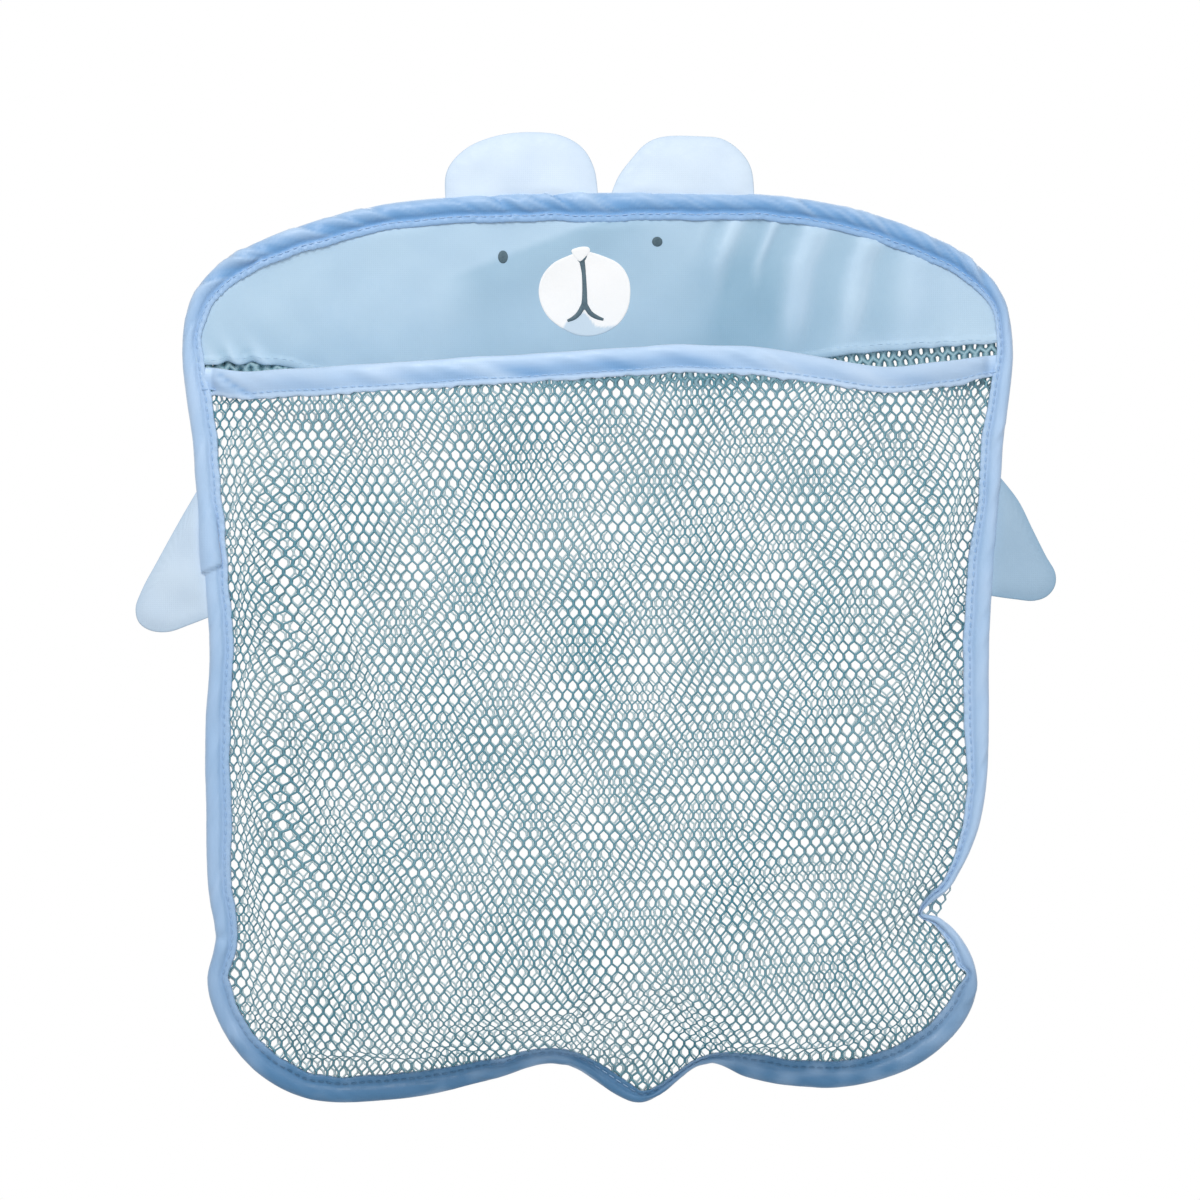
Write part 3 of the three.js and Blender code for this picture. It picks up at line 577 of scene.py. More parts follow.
def closed_sheet(name, front, back, material, shade):
    """A thin closed piece between a front and a back grid of points, front seen from -Y."""
    rows, columns = front.shape[:2]
    count = rows * columns
    faces = [*grid_faces(rows, columns), *grid_faces(rows, columns, first=count)[:, ::-1]]
    number = np.arange(count).reshape(rows, columns)
    border = np.concatenate([number[0, :-1], number[:-1, -1], number[-1, :0:-1], number[:0:-1, 0]])
    faces += [(b, a, a + count, b + count) for a, b in zip(border, np.roll(border, -1))]
    return make_piece(name, [front, back], faces, material, np.tile(shade.ravel(), 2))


def closed_rings(name, outer, inner, material, shade=None, flip=False):
    """A thin closed piece between outer and inner rings round a middle, outer seen from -Y unless flipped."""
    rows, columns = outer.shape[:2]
    count = rows * columns
    edge = np.arange(columns) + count - columns
    after = np.roll(edge, -1)
    cap = list(range(columns))
    faces = grid_faces(rows, columns, close_columns=True).tolist()
    faces += grid_faces(rows, columns, close_columns=True, first=count)[:, ::-1].tolist()
    faces += np.stack([edge, after, after + count, edge + count], -1).tolist()
    faces += [cap[::-1], [i + count for i in cap]]
    if flip:
        faces = [face[::-1] for face in faces]
    if shade is not None:
        shade = np.tile(shade.ravel(), 2)
    return make_piece(name, [outer, inner], faces, material, shade)


def sweep(line, across, up, section):
    """Points of a section of (across, up) pairs at each point of a line, as rows."""
    return line[:, None, :] + across[:, None, :] * section[..., :1] + up[:, None, :] * section[..., 1:]


def tube(line, radii, sides, closed=False):
    """Points and faces of a round tube along a line in space."""
    ahead = np.roll(line, -1, axis=0) - np.roll(line, 1, axis=0) if closed else np.gradient(line, axis=0)
    along = unit(ahead)
    helper = np.where(np.abs(along[:, 1:2]) < 0.9, [[0.0, 1.0, 0.0]], [[1.0, 0.0, 0.0]])
    across = unit(np.cross(along, helper))
    up = np.cross(across, along)
    angles = round_angles(sides)
    radii = np.reshape(radii, (len(line), -1))
    points = sweep(line, across, up, np.stack([radii * np.cos(angles), radii * np.sin(angles)], -1))
    faces = grid_faces(len(line), sides, close_rows=closed, close_columns=True).tolist()
    if not closed:
        faces += caps(len(line), sides)
    return points.reshape(-1, 3), faces


def stitches(name, line, normals, material, radius, shade):
    """A row of short threads lying on a line in space."""
    along = distances(line)
    shares, widths, rises = STITCH.T
    points, faces, tones = [], [], []
    for start in np.arange(STITCH_PITCH / 2, along[-1], STITCH_PITCH):
        at = start + shares * STITCH_LENGTH
        path = points_at(at, along, line) + points_at(at, along, normals) * (rises * radius)[:, None]
        thread, quads = tube(path, widths * radius, THREAD_SIDES)
        faces += [[i + len(points) * len(thread) for i in face] for face in quads]
        points.append(thread)
        tones.append(np.full(len(thread), 0 if shade is None else np.interp(start, along, shade)))
    made = make_piece(name, points, faces, material, np.concatenate(tones))
    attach(made, "bag")
    return made


def seam_pair(name, lines, normals, material, radius=THREAD_RADIUS, shade=None):
    """Stitches along a seam, on its front and on its back."""
    return [
        stitches(f"{name}_stitches_{side}", line, out, material, radius, shade)
        for side, line, out in zip(("front", "back"), lines, normals)
    ]


# Materials.
def srgb(colour):
    """Linear colour of an 8-bit one."""
    values = np.array(colour) / 255
    linear = np.where(values < 0.04045, values / 12.92, ((values + 0.055) / 1.055) ** 2.4)
    return (*linear.tolist(), 1.0)


def connect(tree, made, inputs):
    """Links sockets to a node's inputs, and sets values on them."""
    for key, value in inputs.items():
        if isinstance(value, bpy.types.NodeSocket):
            tree.links.new(value, made.inputs[key])
        else:
            made.inputs[key].default_value = value


def node(tree, kind, inputs=None, **settings):
    made = tree.nodes.new(kind)
    for key, value in settings.items():
        setattr(made, key, value)
    connect(tree, made, inputs or {})
    return made


def start_material(name):
    material = bpy.data.materials.new(name)
    material.use_nodes = True
    tree = material.node_tree
    return material, tree, tree.nodes["Principled BSDF"]


def object_place(tree):
    return node(tree, "ShaderNodeTexCoord").outputs["Object"]


def noise(tree, place, scale, detail, roughness=0.5):
    inputs = {"Vector": place, "Scale": scale, "Detail": detail, "Roughness": roughness}
    return node(tree, "ShaderNodeTexNoise", inputs).outputs["Fac"]


def wave(tree, place, direction, length, distortion):
    inputs = {"Vector": place, "Scale": 1 / (length * MM) / 20 * math.pi, "Distortion": distortion}
    return node(tree, "ShaderNodeTexWave", inputs, bands_direction=direction).outputs["Fac"]


def stretch(tree, value, low, high, to_low, to_high):
    inputs = {"Value": value, "From Min": low, "From Max": high, "To Min": to_low, "To Max": to_high}
    return node(tree, "ShaderNodeMapRange", inputs).outputs["Result"]


def larger(tree, first, second):
    return node(tree, "ShaderNodeMath", {0: first, 1: second}, operation="MAXIMUM").outputs[0]


def relief(tree, height, strength, distance):
    inputs = {"Height": height, "Strength": strength, "Distance": distance * MM}
    return node(tree, "ShaderNodeBump", inputs).outputs["Normal"]


def mesh_share(tree, key):
    return node(tree, "ShaderNodeAttribute", attribute_name=key).outputs["Fac"]


def mix_colours(tree, share, first, second):
    """A colour between two, each a socket or an 8-bit colour."""
    mix = node(tree, "ShaderNodeMix", {"Factor": share}, data_type="RGBA")
    for key, value in (("A", first), ("B", second)):
        socket = next(i for i, s in enumerate(mix.inputs) if s.name == key and s.type == "RGBA")
        connect(tree, mix, {socket: srgb(value) if isinstance(value, tuple) else value})
    return next(s for s in mix.outputs if s.type == "RGBA")


def cloth(name, colour, tint, shade_colour, shade_and_tone, roughness, sheen, weave):
    """Woven cloth: two close colours in blotches, a shade colour and a deeper blue painted where the mesh
    says, and a weave.
    """
    material, tree, shader = start_material(name)
    place = object_place(tree)
    base = mix_colours(tree, stretch(tree, noise(tree, place, 45, 4), 0.35, 0.65, 0, 1), colour, tint)
    for key, colour_there in (("shade", shade_colour), ("shade_and_tone", shade_and_tone)):
        base = mix_colours(tree, mesh_share(tree, key), base, colour_there)
    threads = larger(tree, *(wave(tree, place, direction, weave, 0.6) for direction in "XZ"))
    connect(tree, shader, {
        "Base Color": base,
        "Roughness": stretch(tree, noise(tree, place, 400, 3), 0.3, 0.7, roughness - 0.08, roughness + 0.1),
        "Sheen Weight": sheen,
        "Sheen Roughness": 0.4,
        "Normal": relief(tree, threads, 0.25, 0.1),
    })
    return material


def yarn(name, colour, tint, shade_colour, roughness, twist):
    """Thread or cord: two close colours, a shade colour painted where the mesh says, and a fine slanting lay.
    """
    material, tree, shader = start_material(name)
    place = object_place(tree)
    base = mix_colours(tree, stretch(tree, noise(tree, place, 160, 3), 0.3, 0.7, 0, 1), colour, tint)
    connect(tree, shader, {
        "Base Color": mix_colours(tree, mesh_share(tree, "shade"), base, shade_colour),
        "Roughness": stretch(tree, noise(tree, place, 900, 2), 0.3, 0.7, roughness - 0.08, roughness + 0.1),
        "Sheen Weight": 0.1,
        "Normal": relief(tree, wave(tree, place, "DIAGONAL", twist, 1.5), 0.35, 0.1),
    })
    return material


# Felt: two close colours in a fuzz, and a shade colour painted where the mesh says.
def felt(name, colour, tint, shade_colour):
    material, tree, shader = start_material(name)
    fuzz = noise(tree, object_place(tree), 1400, 5, 0.7)
    base = mix_colours(tree, stretch(tree, fuzz, 0.3, 0.7, 0, 1), colour, tint)
    connect(tree, shader, {
        "Base Color": mix_colours(tree, mesh_share(tree, "shade"), base, shade_colour),
        "Roughness": stretch(tree, fuzz, 0.3, 0.7, 0.85, 1),
        "Sheen Weight": 0.1,
        "Normal": relief(tree, fuzz, 0.5, 0.15),
    })
    return material


def clear_plastic(name, colour, tint):
    material, tree, shader = start_material(name)
    cloud = noise(tree, object_place(tree), 90, 3)
    connect(tree, shader, {
        "Base Color": mix_colours(tree, cloud, colour, tint),
        "Roughness": stretch(tree, cloud, 0.3, 0.7, 0.08, 0.2),
        "Transmission Weight": 0.85,
        "IOR": 1.45,
    })
    return material


# The third colour of each cloth, yarn and felt is its painted shade colour. A cloth's fourth is a deeper
# blue, laid on as painted shade and tone.
TAPE = cloth("tape_blue", (190, 217, 246), (198, 222, 249), (52, 104, 142), (108, 160, 212), 0.42, 0.75, 0.5)
PANEL = cloth("panel_blue", (184, 212, 235), (190, 217, 238), (142, 180, 205), (140, 177, 204),
              0.54, 0.3, 0.4)
# The flaps' cloth is paler than the head cloth, as painted light on the ears, which lean back into the light.
# The arms take painted shade.
FLAP = cloth("flap_blue", (212, 229, 248), (219, 235, 251), (146, 179, 205), (180, 205, 230), 0.55, 0.3, 0.4)
# The net's yarn is near white, and the front net is laid darker with the painted shade colour, as shaded
# strands.
NET = yarn("net_mint", (220, 242, 247), (228, 246, 250), (56, 132, 152), 0.45, 0.35)
THREAD = yarn("thread_blue", (160, 195, 232), (172, 205, 240), (64, 112, 150), 0.5, 0.3)
PALE_THREAD = yarn("thread_pale", (176, 206, 230), (184, 212, 234), (150, 185, 210), 0.5, 0.3)
SLATE = yarn("thread_slate", (70, 94, 106), (86, 111, 123), (130, 150, 166), 0.6, 0.4)
CORD = yarn("cord_white", (236, 239, 242), (222, 228, 233), (200, 208, 214), 0.6, 0.8)
FELT = felt("felt_white", (255, 255, 255), (253, 254, 255), (200, 221, 238))
CLEAR = clear_plastic("clear_pvc", (232, 242, 246), (244, 249, 250))


# Rolled and stitched tape. Distances along it from some places, and the parts of its section.
FROM_NOTCH, FROM_TAB, FROM_TIP, FROM_CREASE, FROM_TAPE_END, *FROM_CROTCH = (
    distance_along(*place)[:, None]
    for place in (NOTCH, FOOT_TAB, SEWN_POINT, (-147, -287), (-150, -148), (-12, -336), (43, -336))
)
ON_FLANGE = slice(0, len(FLANGE_SECTION))
ON_ROLL = slice(len(FLANGE_SECTION), len(FLANGE_SECTION) + ROLL_POINTS)
FLANGE_EDGE = slice(0, 3)
GROOVE = slice(4, 6)
ROLL_FRONT = slice(11, 18)


def wrinkles(turn):
    """Slanting folds of the tape round its roll."""
    random = np.random.default_rng(11)
    along = RIM_ALONG[:, None]
    total = 0
    for longest, shortest, size in WRINKLES:
        for _ in range(3):
            count = random.integers(round(RIM_LENGTH / longest), round(RIM_LENGTH / shortest))
            slant = 4.5 + 3 * random.random()
            phase = random.random()
            shifted = along - slant * (np.pi - turn)
            swell = 0.5 + 0.5 * np.sin(2 * np.pi * (along * random.integers(9, 30) / RIM_LENGTH + phase))
            share = (count * shifted / RIM_LENGTH + phase) % 1
            total = total + size * swell * ((share / 0.88) ** 1.2 * (1 - smoothstep(share, 0.88, 1)) - 0.42)
    return total


def rim_lift(z, turn, creased):
    """How far the tape stands out round its roll, by its wrinkles, creases, lapped end and folds."""
    size = (0.45 + 1.05 * smoothstep(z, -75, -15)) * (0.9 + 0.3 * rim_noise(40, 160, 5)[:, None])
    on_roll = np.sin(np.linspace(0, np.pi, ROLL_POINTS)).clip(0) ** 0.6 * (0.12 + 0.88 * np.abs(np.sin(turn)))
    lift = size * 1.15 * creased - (0.9 * hump(FROM_CREASE, 1.6) - 0.3 * hump(np.abs(FROM_CREASE) - 4, 2.2))
    lift = lift + 0.8 * plateau(FROM_NOTCH, -0.4, 0.4, 5, 14)
    for away in FROM_CROTCH:
        lift = lift + 0.5 * hump(away - 3.5, 2.6) - 0.6 * hump(away, 1.2)
    return lift * on_roll + 1.5 * plateau(FROM_TAPE_END + 1.3 * (turn - np.pi), -0.3, 0.15, 4, 30)


def rim_tones(x, z, creased, bent, columns):
    """Painted light and shade on the tape, as shares of its shade colour and of a deeper blue."""
    foot, under = smoothstep(-z, 285, 312), smoothstep(-z, 318, 350)
    right, crown = smoothstep(x, -60, 160), smoothstep(z, -70, -15)
    # Painted shade over the feet, most under the soles, in the crotch's left flank with a painted highlight
    # on its right flank, and at the lower left. Mottled patches over the feet follow.
    shade = foot * (0.2 + 0.76 * under * (1 - 0.06 * right) + 0.4 * right * (1 - under))
    shade = shade + 0.36 * hump(FROM_TIP - 12, 16) - 0.2 * hump(FROM_TIP + 18, 12)
    shade = shade + 0.09 * smoothstep(-z, 255, 300) * (1 - right)
    mottled = soft_noise(RIM_ALONG[:, None], 1.3 * np.arange(columns), 13, 8)
    shade = shade + 0.1 * foot * (0.4 + 0.6 * under) * mottled
    # Painted shade in the stitched groove, most at the notch. Painted highlights on the flange's edge where
    # the tab bends, and on the roll's front by the crotch's left flank, where a fold catches the light.
    shade[:, GROOVE] += 0.1 + 0.12 * crown + 0.4 * hump(FROM_NOTCH, 3)
    shade[:, FLANGE_EDGE] -= 0.3 * bent
    shade[:, ROLL_FRONT] -= 0.5 * hump(FROM_TIP - 20, 9)
    # A deeper blue as painted shade towards the groove and in the wrinkles' folds, strongest over the crown,
    # with a painted highlight along the roll's outer edge there. The flange's share comes from its section.
    # Beneath it lies an even tone, a little more on the lower left flank.
    to_groove = np.abs(np.cos(np.linspace(0, np.pi, ROLL_POINTS)))
    shade_and_tone = np.full((len(RIM), columns), 0.5)
    shade_and_tone[:, ON_FLANGE] = FLANGE_SECTION[:, -1]
    shade_and_tone[:, ON_ROLL] = 1.2 * to_groove**0.7 - 0.9 * np.clip(creased, -0.8, 0.8) * (1 - 0.35 * to_groove)
    light = np.zeros(columns)
    light[ON_ROLL] = 1 - to_groove**2
    strength = 0.08 + 0.6 * crown * (1 - 0.2 * smoothstep(-x, 60, 130))
    flank = 0.15 * smoothstep(-x, 100, 140) * smoothstep(-z, 150, 200)
    shade_and_tone = 0.2 + flank - 0.2 * crown * light + strength * shade_and_tone
    return np.clip(shade, 0, 1), np.clip(shade_and_tone, 0, 1)


def rim_binding():
    x, z = RIM.T[..., None]
    width = RIM_WIDTH[:, None]
    roll = 1 + 0.05 * rim_noise(18, 70, 4)[:, None] - 0.2 * smoothstep(-z, 285, 312)
    roll = ROLL_HALF * roll * (1 - 0.3 * hump(FROM_NOTCH, 5.5))
    flange = np.minimum(FLANGE, FLANGE_SHARE * width)
    half = (width - flange) / 2
    first = np.arcsin(np.clip(THROAT_HALF / roll, 0, 0.9))
    turn = first + (2 * np.pi - 2 * first) * np.linspace(0, 1, ROLL_POINTS)
    creased = wrinkles(turn)
    lift = rim_lift(z, turn, creased)
    rolled = np.stack([half + (half + lift) * np.cos(turn), (roll + lift) * np.sin(turn)], -1)
    bent = hump(FROM_TAB + 2.5, 1.6)
    stitch = RIM_LENGTH / round(RIM_LENGTH / STITCH_PITCH)
    pucker = (0.16 * np.cos(2 * np.pi * RIM_ALONG / stitch) + 0.2 * rim_noise(3, 9, 7, 14))[:, None]
    ragged = 0.06 * rim_noise(3, 9, 6)[:, None]
    across, height, frayed, puckered, _ = FLANGE_SECTION.T
    flange_front = np.stack([
        width + across * flange / FLANGE + (0.6 * ragged + 0.12 * pucker) * frayed,
        height + (pucker + 0.35 * plateau(FROM_TAPE_END, -0.4, 0.2, 8, 20) + 0.7 * bent) * puckered,
    ], -1)
    flange_back = flange_front[:, ::-1] * [1, -1]
    angles = np.radians(np.linspace(-150, 150, 7))
    bore = [half - (half - TAPE_THICKNESS) * np.cos(angles), (roll - TAPE_THICKNESS) * np.sin(angles)]
    slot = np.stack([width - 0.2, np.full_like(width, -SLOT_HALF)], -1)
    outside = np.concatenate([flange_front, rolled, flange_back], 1)
    ring = np.concatenate([outside, slot, np.stack(bore, -1), slot * [1, -1]], 1)
    line, inward = np.insert(RIM, 1, BAG_Y, axis=1), np.insert(-RIM_OUT, 1, 0, axis=1)
    forward = np.tile([0.0, -1.0, 0.0], (len(RIM), 1))
    faces = grid_faces(len(RIM), ring.shape[1], close_rows=True, close_columns=True)
    shade, shade_and_tone = rim_tones(x, z, creased, bent, ring.shape[1])
    made = make_piece("rim_binding", sweep(line, inward, forward, ring), faces, TAPE, shade, shade_and_tone)
    stand_for(made, "rim_binding")
    # The stitches take the tape's painted shade, except on the crotch's left flank, where they stay pale.
    thread_shade = shade[:, 2] * (1 - 0.9 * hump(FROM_TIP[:, 0] - 14, 10))
    seam = line + inward * (width - SEAM_SHARE * flange)
    lines = [seam + forward * side * (FLANGE_HALF - 0.12) for side in (1, -1)]
    seams = seam_pair("rim", lines, (forward, -forward), THREAD, shade=thread_shade)
    cord, radii = line + inward * half, np.clip(half - 0.7, 0.4, CORD_RADIUS)
    cord = make_piece("rim_cord", *tube(cord[::2], radii[::2], CORD_SIDES, closed=True), CORD)
    stand_for(cord, "rim_cord")


rim_binding()


# Head cloth with its turned hem.
def upright_folds(x, z):
    """The folds at the right that hang from the rim."""
    total = 0
    for middle, size, breadth, lean, low in HEAD_FOLDS:
        across = x - middle - lean * (z + 30) - 0.28 * np.clip(z + 28, 0, None)
        total = total + size * hump(across, breadth) * smoothstep(z, low, low + 35)
    return total


def head_folds(x, z):
    """How far the cloth stands forward: upright folds, a slack diagonal and a puckered hem."""
    total = 0.35 * soft_noise(x, z, 70, 21) + 0.12 * soft_noise(x, z, 22, 22) + upright_folds(x, z)
    total = total + 1.1 * hump((x + 45) * 0.42 - (z + 35) * 0.9, 9) * hump(x + 30, 50)
    above = z - hem_low(x)
    left = 1.7 * smoothstep(-x, 105, 125) * humps(x + 0.6 * above, HEM_TIPS)
    right = 0.7 * smoothstep(x, 84, 100) * (0.5 + 0.5 * np.cos(2 * np.pi * x / HEM_WAVE + np.sin(x / 7)))
    return total + hump(above, 7) * (left + right + 0.2 + 0.12 * soft_noise(x, 0, 14, 23))


def head_painted_shade(x, z, low):
    """Painted shade on the head cloth: under the slack, in a hollow right of the muzzle, lower down, between
    the folds at the right and above the hem's scallops. Painted highlights on the fold crests, where the hem
    hangs at the left, along the right of the hem and at the far right.
    """
    under_slack = -17 + 0.38 * (x + 20) - z
    fading = np.exp(-np.clip(under_slack, 0, None) / 40)
    below = smoothstep(under_slack, 0, 4) * fading * plateau(x, -64, -42, 0, 40)
    folds = upright_folds(x, z)
    tone = 0.2 + 0.55 * hump(x - 52, 28) * smoothstep(-z, 5, 40) + 0.55 * below + 0.2 * smoothstep(-z, 40, 66)
    among = plateau(x, 36, 52, 108, 135) * smoothstep(z, -66, -45)
    tone = tone + 0.5 * among * np.clip(0.7 - folds, -0.6, 0.7) - 0.1 * np.clip(folds / 1.2, 0, 1)
    above = z - hem_low(x)
    tone = tone - 0.4 * hump(above, 10) * humps(x + 0.6 * above, HEM_TIPS)
    tone = tone + 0.22 * hump(above - 3.5, 3) * humps(x + 0.3 * above, HEM_SCALLOPS)
    tone = tone - 0.25 * hump(z - low, 6) * smoothstep(x, 84, 100) - 0.12 * smoothstep(x, 110, 140)
    return np.clip(tone, 0, 1)


def head_panel():
    arch = inset(RIM_WIDTH - FLANGE, 1)
    arch = arch[arch[:, 1] > -72]
    arch = arch[np.argsort(arch[:, 0])]
    x = np.linspace(arch[0, 0] + 0.6, arch[-1, 0] - 0.6, HEAD_COLUMNS)
    top = np.interp(x, arch[:, 0], arch[:, 1])
    drawn_up = 0.55 * smoothstep(x, 88, 100) * np.abs(np.sin(np.pi * x / HEM_WAVE + 0.5 * np.sin(x / 7)))
    low = np.minimum(hem_low(x) + humps(x, HEM_SCALLOPS) + drawn_up, top - 0.5)
    z = low + (top - low) * HEAD_ROWS[:, None]
    x = np.broadcast_to(x, z.shape)
    edge_free = smoothstep(top - z, 1.5, 6) * smoothstep(HEAD_HALF_WIDTH - 8 - np.abs(x), 0, 12)
    hem = 0.5 * (1 - smoothstep(z - low, 2.6, 3.4)) - 0.5 * hump(z - low, 0.5)
    y = HEAD_Y - head_folds(x, z) * edge_free - hem
    front = np.stack([x, y, z], -1)
    back = np.stack([x, y + 0.6 + 1.6 * np.maximum(hem, 0), z], -1)
    made = closed_sheet("head_panel", front, back, PANEL, head_painted_shade(x, z, low))
    stand_for(made, "head_panel")
    seam = front[HEM_SEAM_ROW]
    behind = np.column_stack([seam[:, 0], np.full(len(seam), BACK_Y + NET_HALF), seam[:, 2]])
    normals = np.tile([0.0, -1.0, 0.0], (len(seam), 1))
    seams = seam_pair("hem", (seam, behind), (normals, -normals), PALE_THREAD, HEM_THREAD_RADIUS)


head_panel()


# Nets.
def hexagons(loops, top, turn):
    """Cells of a net, turned by some degrees, with centres inside one of some loops and below a top edge.
    Returns the corners of the lattice and six corner numbers for each cell."""
    count, row_step = 110, 40
    row, column = np.meshgrid(np.arange(-count, count), np.arange(-count, count), indexing="ij")
    centres = np.stack([2 * column + row % 2, -row_step * row], -1).reshape(-1, 2)
    c, s = math.cos(math.radians(turn)), math.sin(math.radians(turn))

    def place(steps):
        flat = steps * np.array([NET_PITCH / 2, NET_ROW / row_step])
        return flat @ np.array([[c, s], [-s, c]]) + np.array([0, SEWN_POINT[1] / 2])

    places = place(centres)
    near = (np.abs(places[:, 0]) < HEAD_HALF_WIDTH) & (places[:, 1] < 0) & (places[:, 1] > SEWN_POINT[1])
    centres, places = centres[near], places[near]
    within = np.any([inside(places, loop) for loop in loops], axis=0)
    centres = centres[within & (places[:, 1] < top(places[:, 0]) + NET_ROW / 3)]
    link = round(row_step / 2 * NET_LINK)
    tip = row_step - link
    around = np.array([(0, tip), (1, link), (1, -link), (0, -tip), (-1, -link), (-1, link)])
    corners = (centres[:, None, :] + around).reshape(-1, 2)
    unique, numbers = np.unique(corners, axis=0, return_inverse=True)
    lattice = place(unique)
    lattice[:, 1] = np.minimum(lattice[:, 1], top(lattice[:, 0]))
    return lattice, numbers.reshape(-1, 6)


def open_cells(lattice, corners, strand):
    """The hole in each cell of a net, whose upright links are thicker than its slanting strands."""
    middles = lattice[corners].mean(1)
    spokes = lattice[corners] - middles[:, None, :]
    share = strand(*middles.T) / NET_PITCH * (1 + 0.06 * soft_noise(*middles.T, 45, 33))
    share = share[:, None, None]
    holes = spokes * (1 - STRAND_TAKES * share)
    for side in ([1, 2], [4, 5]):
        holes[:, side] = spokes[:, side] - LINK_TAKES * share * spokes[:, side].mean(1, keepdims=True)
    return middles[:, None, :] + holes


def net_piece(name, cells, surface, strand, tone, ridge_tone=lambda z: 1):
    """A net of strands with a lens-shaped section over a surface in space."""
    lattice, corners = cells
    jitter = np.random.default_rng(len(lattice)).normal(0, NET_JITTER, lattice.shape)
    drift = np.column_stack([soft_noise(*lattice.T, 60, seed) for seed in (31, 32)])
    lattice = lattice + jitter + 0.35 * drift
    holes = open_cells(lattice, corners, strand).reshape(-1, 2)
    ridge, normals = surface(lattice)
    edge, _ = surface(holes)
    count = len(ridge)
    points = np.vstack([ridge + normals * NET_HALF, ridge - normals * NET_HALF, edge])
    hole = 2 * count + np.arange(len(edge)).reshape(-1, 6)
    after, hole_after = np.roll(corners, -1, axis=1), np.roll(hole, -1, axis=1)
    front = np.stack([corners, after, hole_after, hole], -1).reshape(-1, 4)
    back = np.stack([after + count, corners + count, hole, hole_after], -1).reshape(-1, 4)
    pairs = np.stack([corners, after], -1).reshape(-1, 2)
    _, first, uses = np.unique(np.sort(pairs, 1), axis=0, return_index=True, return_counts=True)
    a, b = pairs[first[uses == 1]].T
    ends = np.stack([b, a, a + count, b + count], -1)
    ridge_shade = tone(*lattice.T) * ridge_tone(lattice[:, 1])
    shade = np.clip(np.concatenate([ridge_shade, ridge_shade, tone(*holes.T)]), 0, 1)
    made = make_piece(name, points, np.vstack([front, back, ends]).tolist(), NET, shade)
    stand_for(made, name)
    return made


def net_cut(cells, surface):
    """Measures over its surface how wide and tall the cut of a net is, and carries its cells' corners there;
    nothing uses either."""
    lattice, corners = cells
    low, high = lattice.min(0), lattice.max(0)
    steps = np.linspace(low, high, 200)
    across, down = np.insert(steps[:, :1], 1, CUT_Z, axis=1), np.insert(steps[:, 1:], 0, 0, axis=1)
    size = [float(distances(surface(line)[0])[-1]) * MM for line in (across, down)]
    cell = surface(lattice)[0][corners]


def back_net():
    """The flat net behind the pocket. Its top is a thicker selvedge in painted shadow, and it is slack in the
    notch.
    """
    loops = [inset(np.maximum(RIM_WIDTH - BACK_NET_TUCK, LEAST_INSET)), NOTCH_SLACK]
    cells = hexagons(loops, lambda x: np.minimum(hem_low(x) + 9, CROWN_Z), BACK_NET_TURN)

    def surface(places):
        x, z = places.T
        loose = smoothstep(line_distance(places, POCKET_EDGE), 10, 40) * smoothstep(-z, 75, 110)
        y = BACK_Y + 0.5 * soft_noise(x, z, 55, 41) * loose
        return np.column_stack([x, y, z]), np.tile([0.0, -1.0, 0.0], (len(x), 1))

    def slack(x, z):
        return hump(x - SLACK_MIDDLE[0], 7) * hump(z - SLACK_MIDDLE[1], 7)

    # The selvedge and the left end are thickened to close the holes below the hem, and carry the painted
    # shadow there.
    def strand(x, z):
        left_end = 1.2 * smoothstep(z, -72, -69) * smoothstep(-x, 80, 100)
        return NET_STRAND + NET_SELVEDGE * smoothstep(z, -77, -71) + left_end + 0.5 * slack(x, z)

    # Painted shadow: dark over the selvedge below the hem and in the slack of the notch.
    def tone(x, z):
        return 0.04 + 0.9 * smoothstep(z, -82, -71) + 0.8 * slack(x, z)

    # The selvedge's ridges keep less of the painted shadow, so its strands show pale on it.
    made = net_piece("back_net", cells, surface, strand, tone, lambda z: 1 - 0.4 * smoothstep(z, -77, -71))
    net_cut(cells, surface)


back_net()


def slack_net():
    """Flat triangles of the front net, where their corners lie in space, and which are sewn down."""
    spacing, row_share = 4.6, 0.866
    edge = even_steps(inset(RIM_WIDTH - 0.6, 1), spacing * 0.9, closed=True)
    sides = edge[edge[:, 1] < sewn_top(edge[:, 0])]
    start = int(np.argmax(sides[:, 0] > 0))
    sides = np.roll(sides, -start, axis=0) if sides[0, 0] <= 0 else sides
    top = np.linspace(sides[-1, 0], sides[0, 0], round((sides[0, 0] - sides[-1, 0]) / spacing))[1:-1]
    border = np.vstack([sides, np.column_stack([top, sewn_top(top)])])
    rows = np.arange(int(-SEWN_POINT[1] / (spacing * row_share)) + 1)
    row, column = np.meshgrid(rows, np.arange(-40, 41), indexing="ij")
    field = np.stack([(column + (row % 2) / 2) * spacing, -row * spacing * row_share], -1).reshape(-1, 2)
    field = field[inside(field, border)]
    field = field[line_distance(field, close(border)) > spacing * 0.55]
    count = len(border)
    edges = [(i, (i + 1) % count) for i in range(count)]
    corners = [Vector(p) for p in np.vstack([border, field])]
    flat, _, triangles, *_ = delaunay_2d_cdt(corners, edges, [list(range(count))], 1, 1e-4)
    flat = np.array([tuple(p) for p in flat])
    space = np.column_stack([flat[:, 0], NET_Y - bulge(*flat.T), flat[:, 1]])
    return flat, np.array(triangles), space, np.arange(len(flat)) < count


HANG_FRAMES = 40
HANG_SETTINGS = {
    "quality": 6,
    "mass": 0.08,
    "tension_stiffness": 12,
    "compression_stiffness": 4,
    "shear_stiffness": 3,
    "bending_stiffness": 0.6,
    "vertex_group_mass": "sewn",
    "shrink_min": -0.012,
    "use_pressure": True,
    "uniform_pressure_force": 0.5,
}
HANG_GRAVITY = 0.35


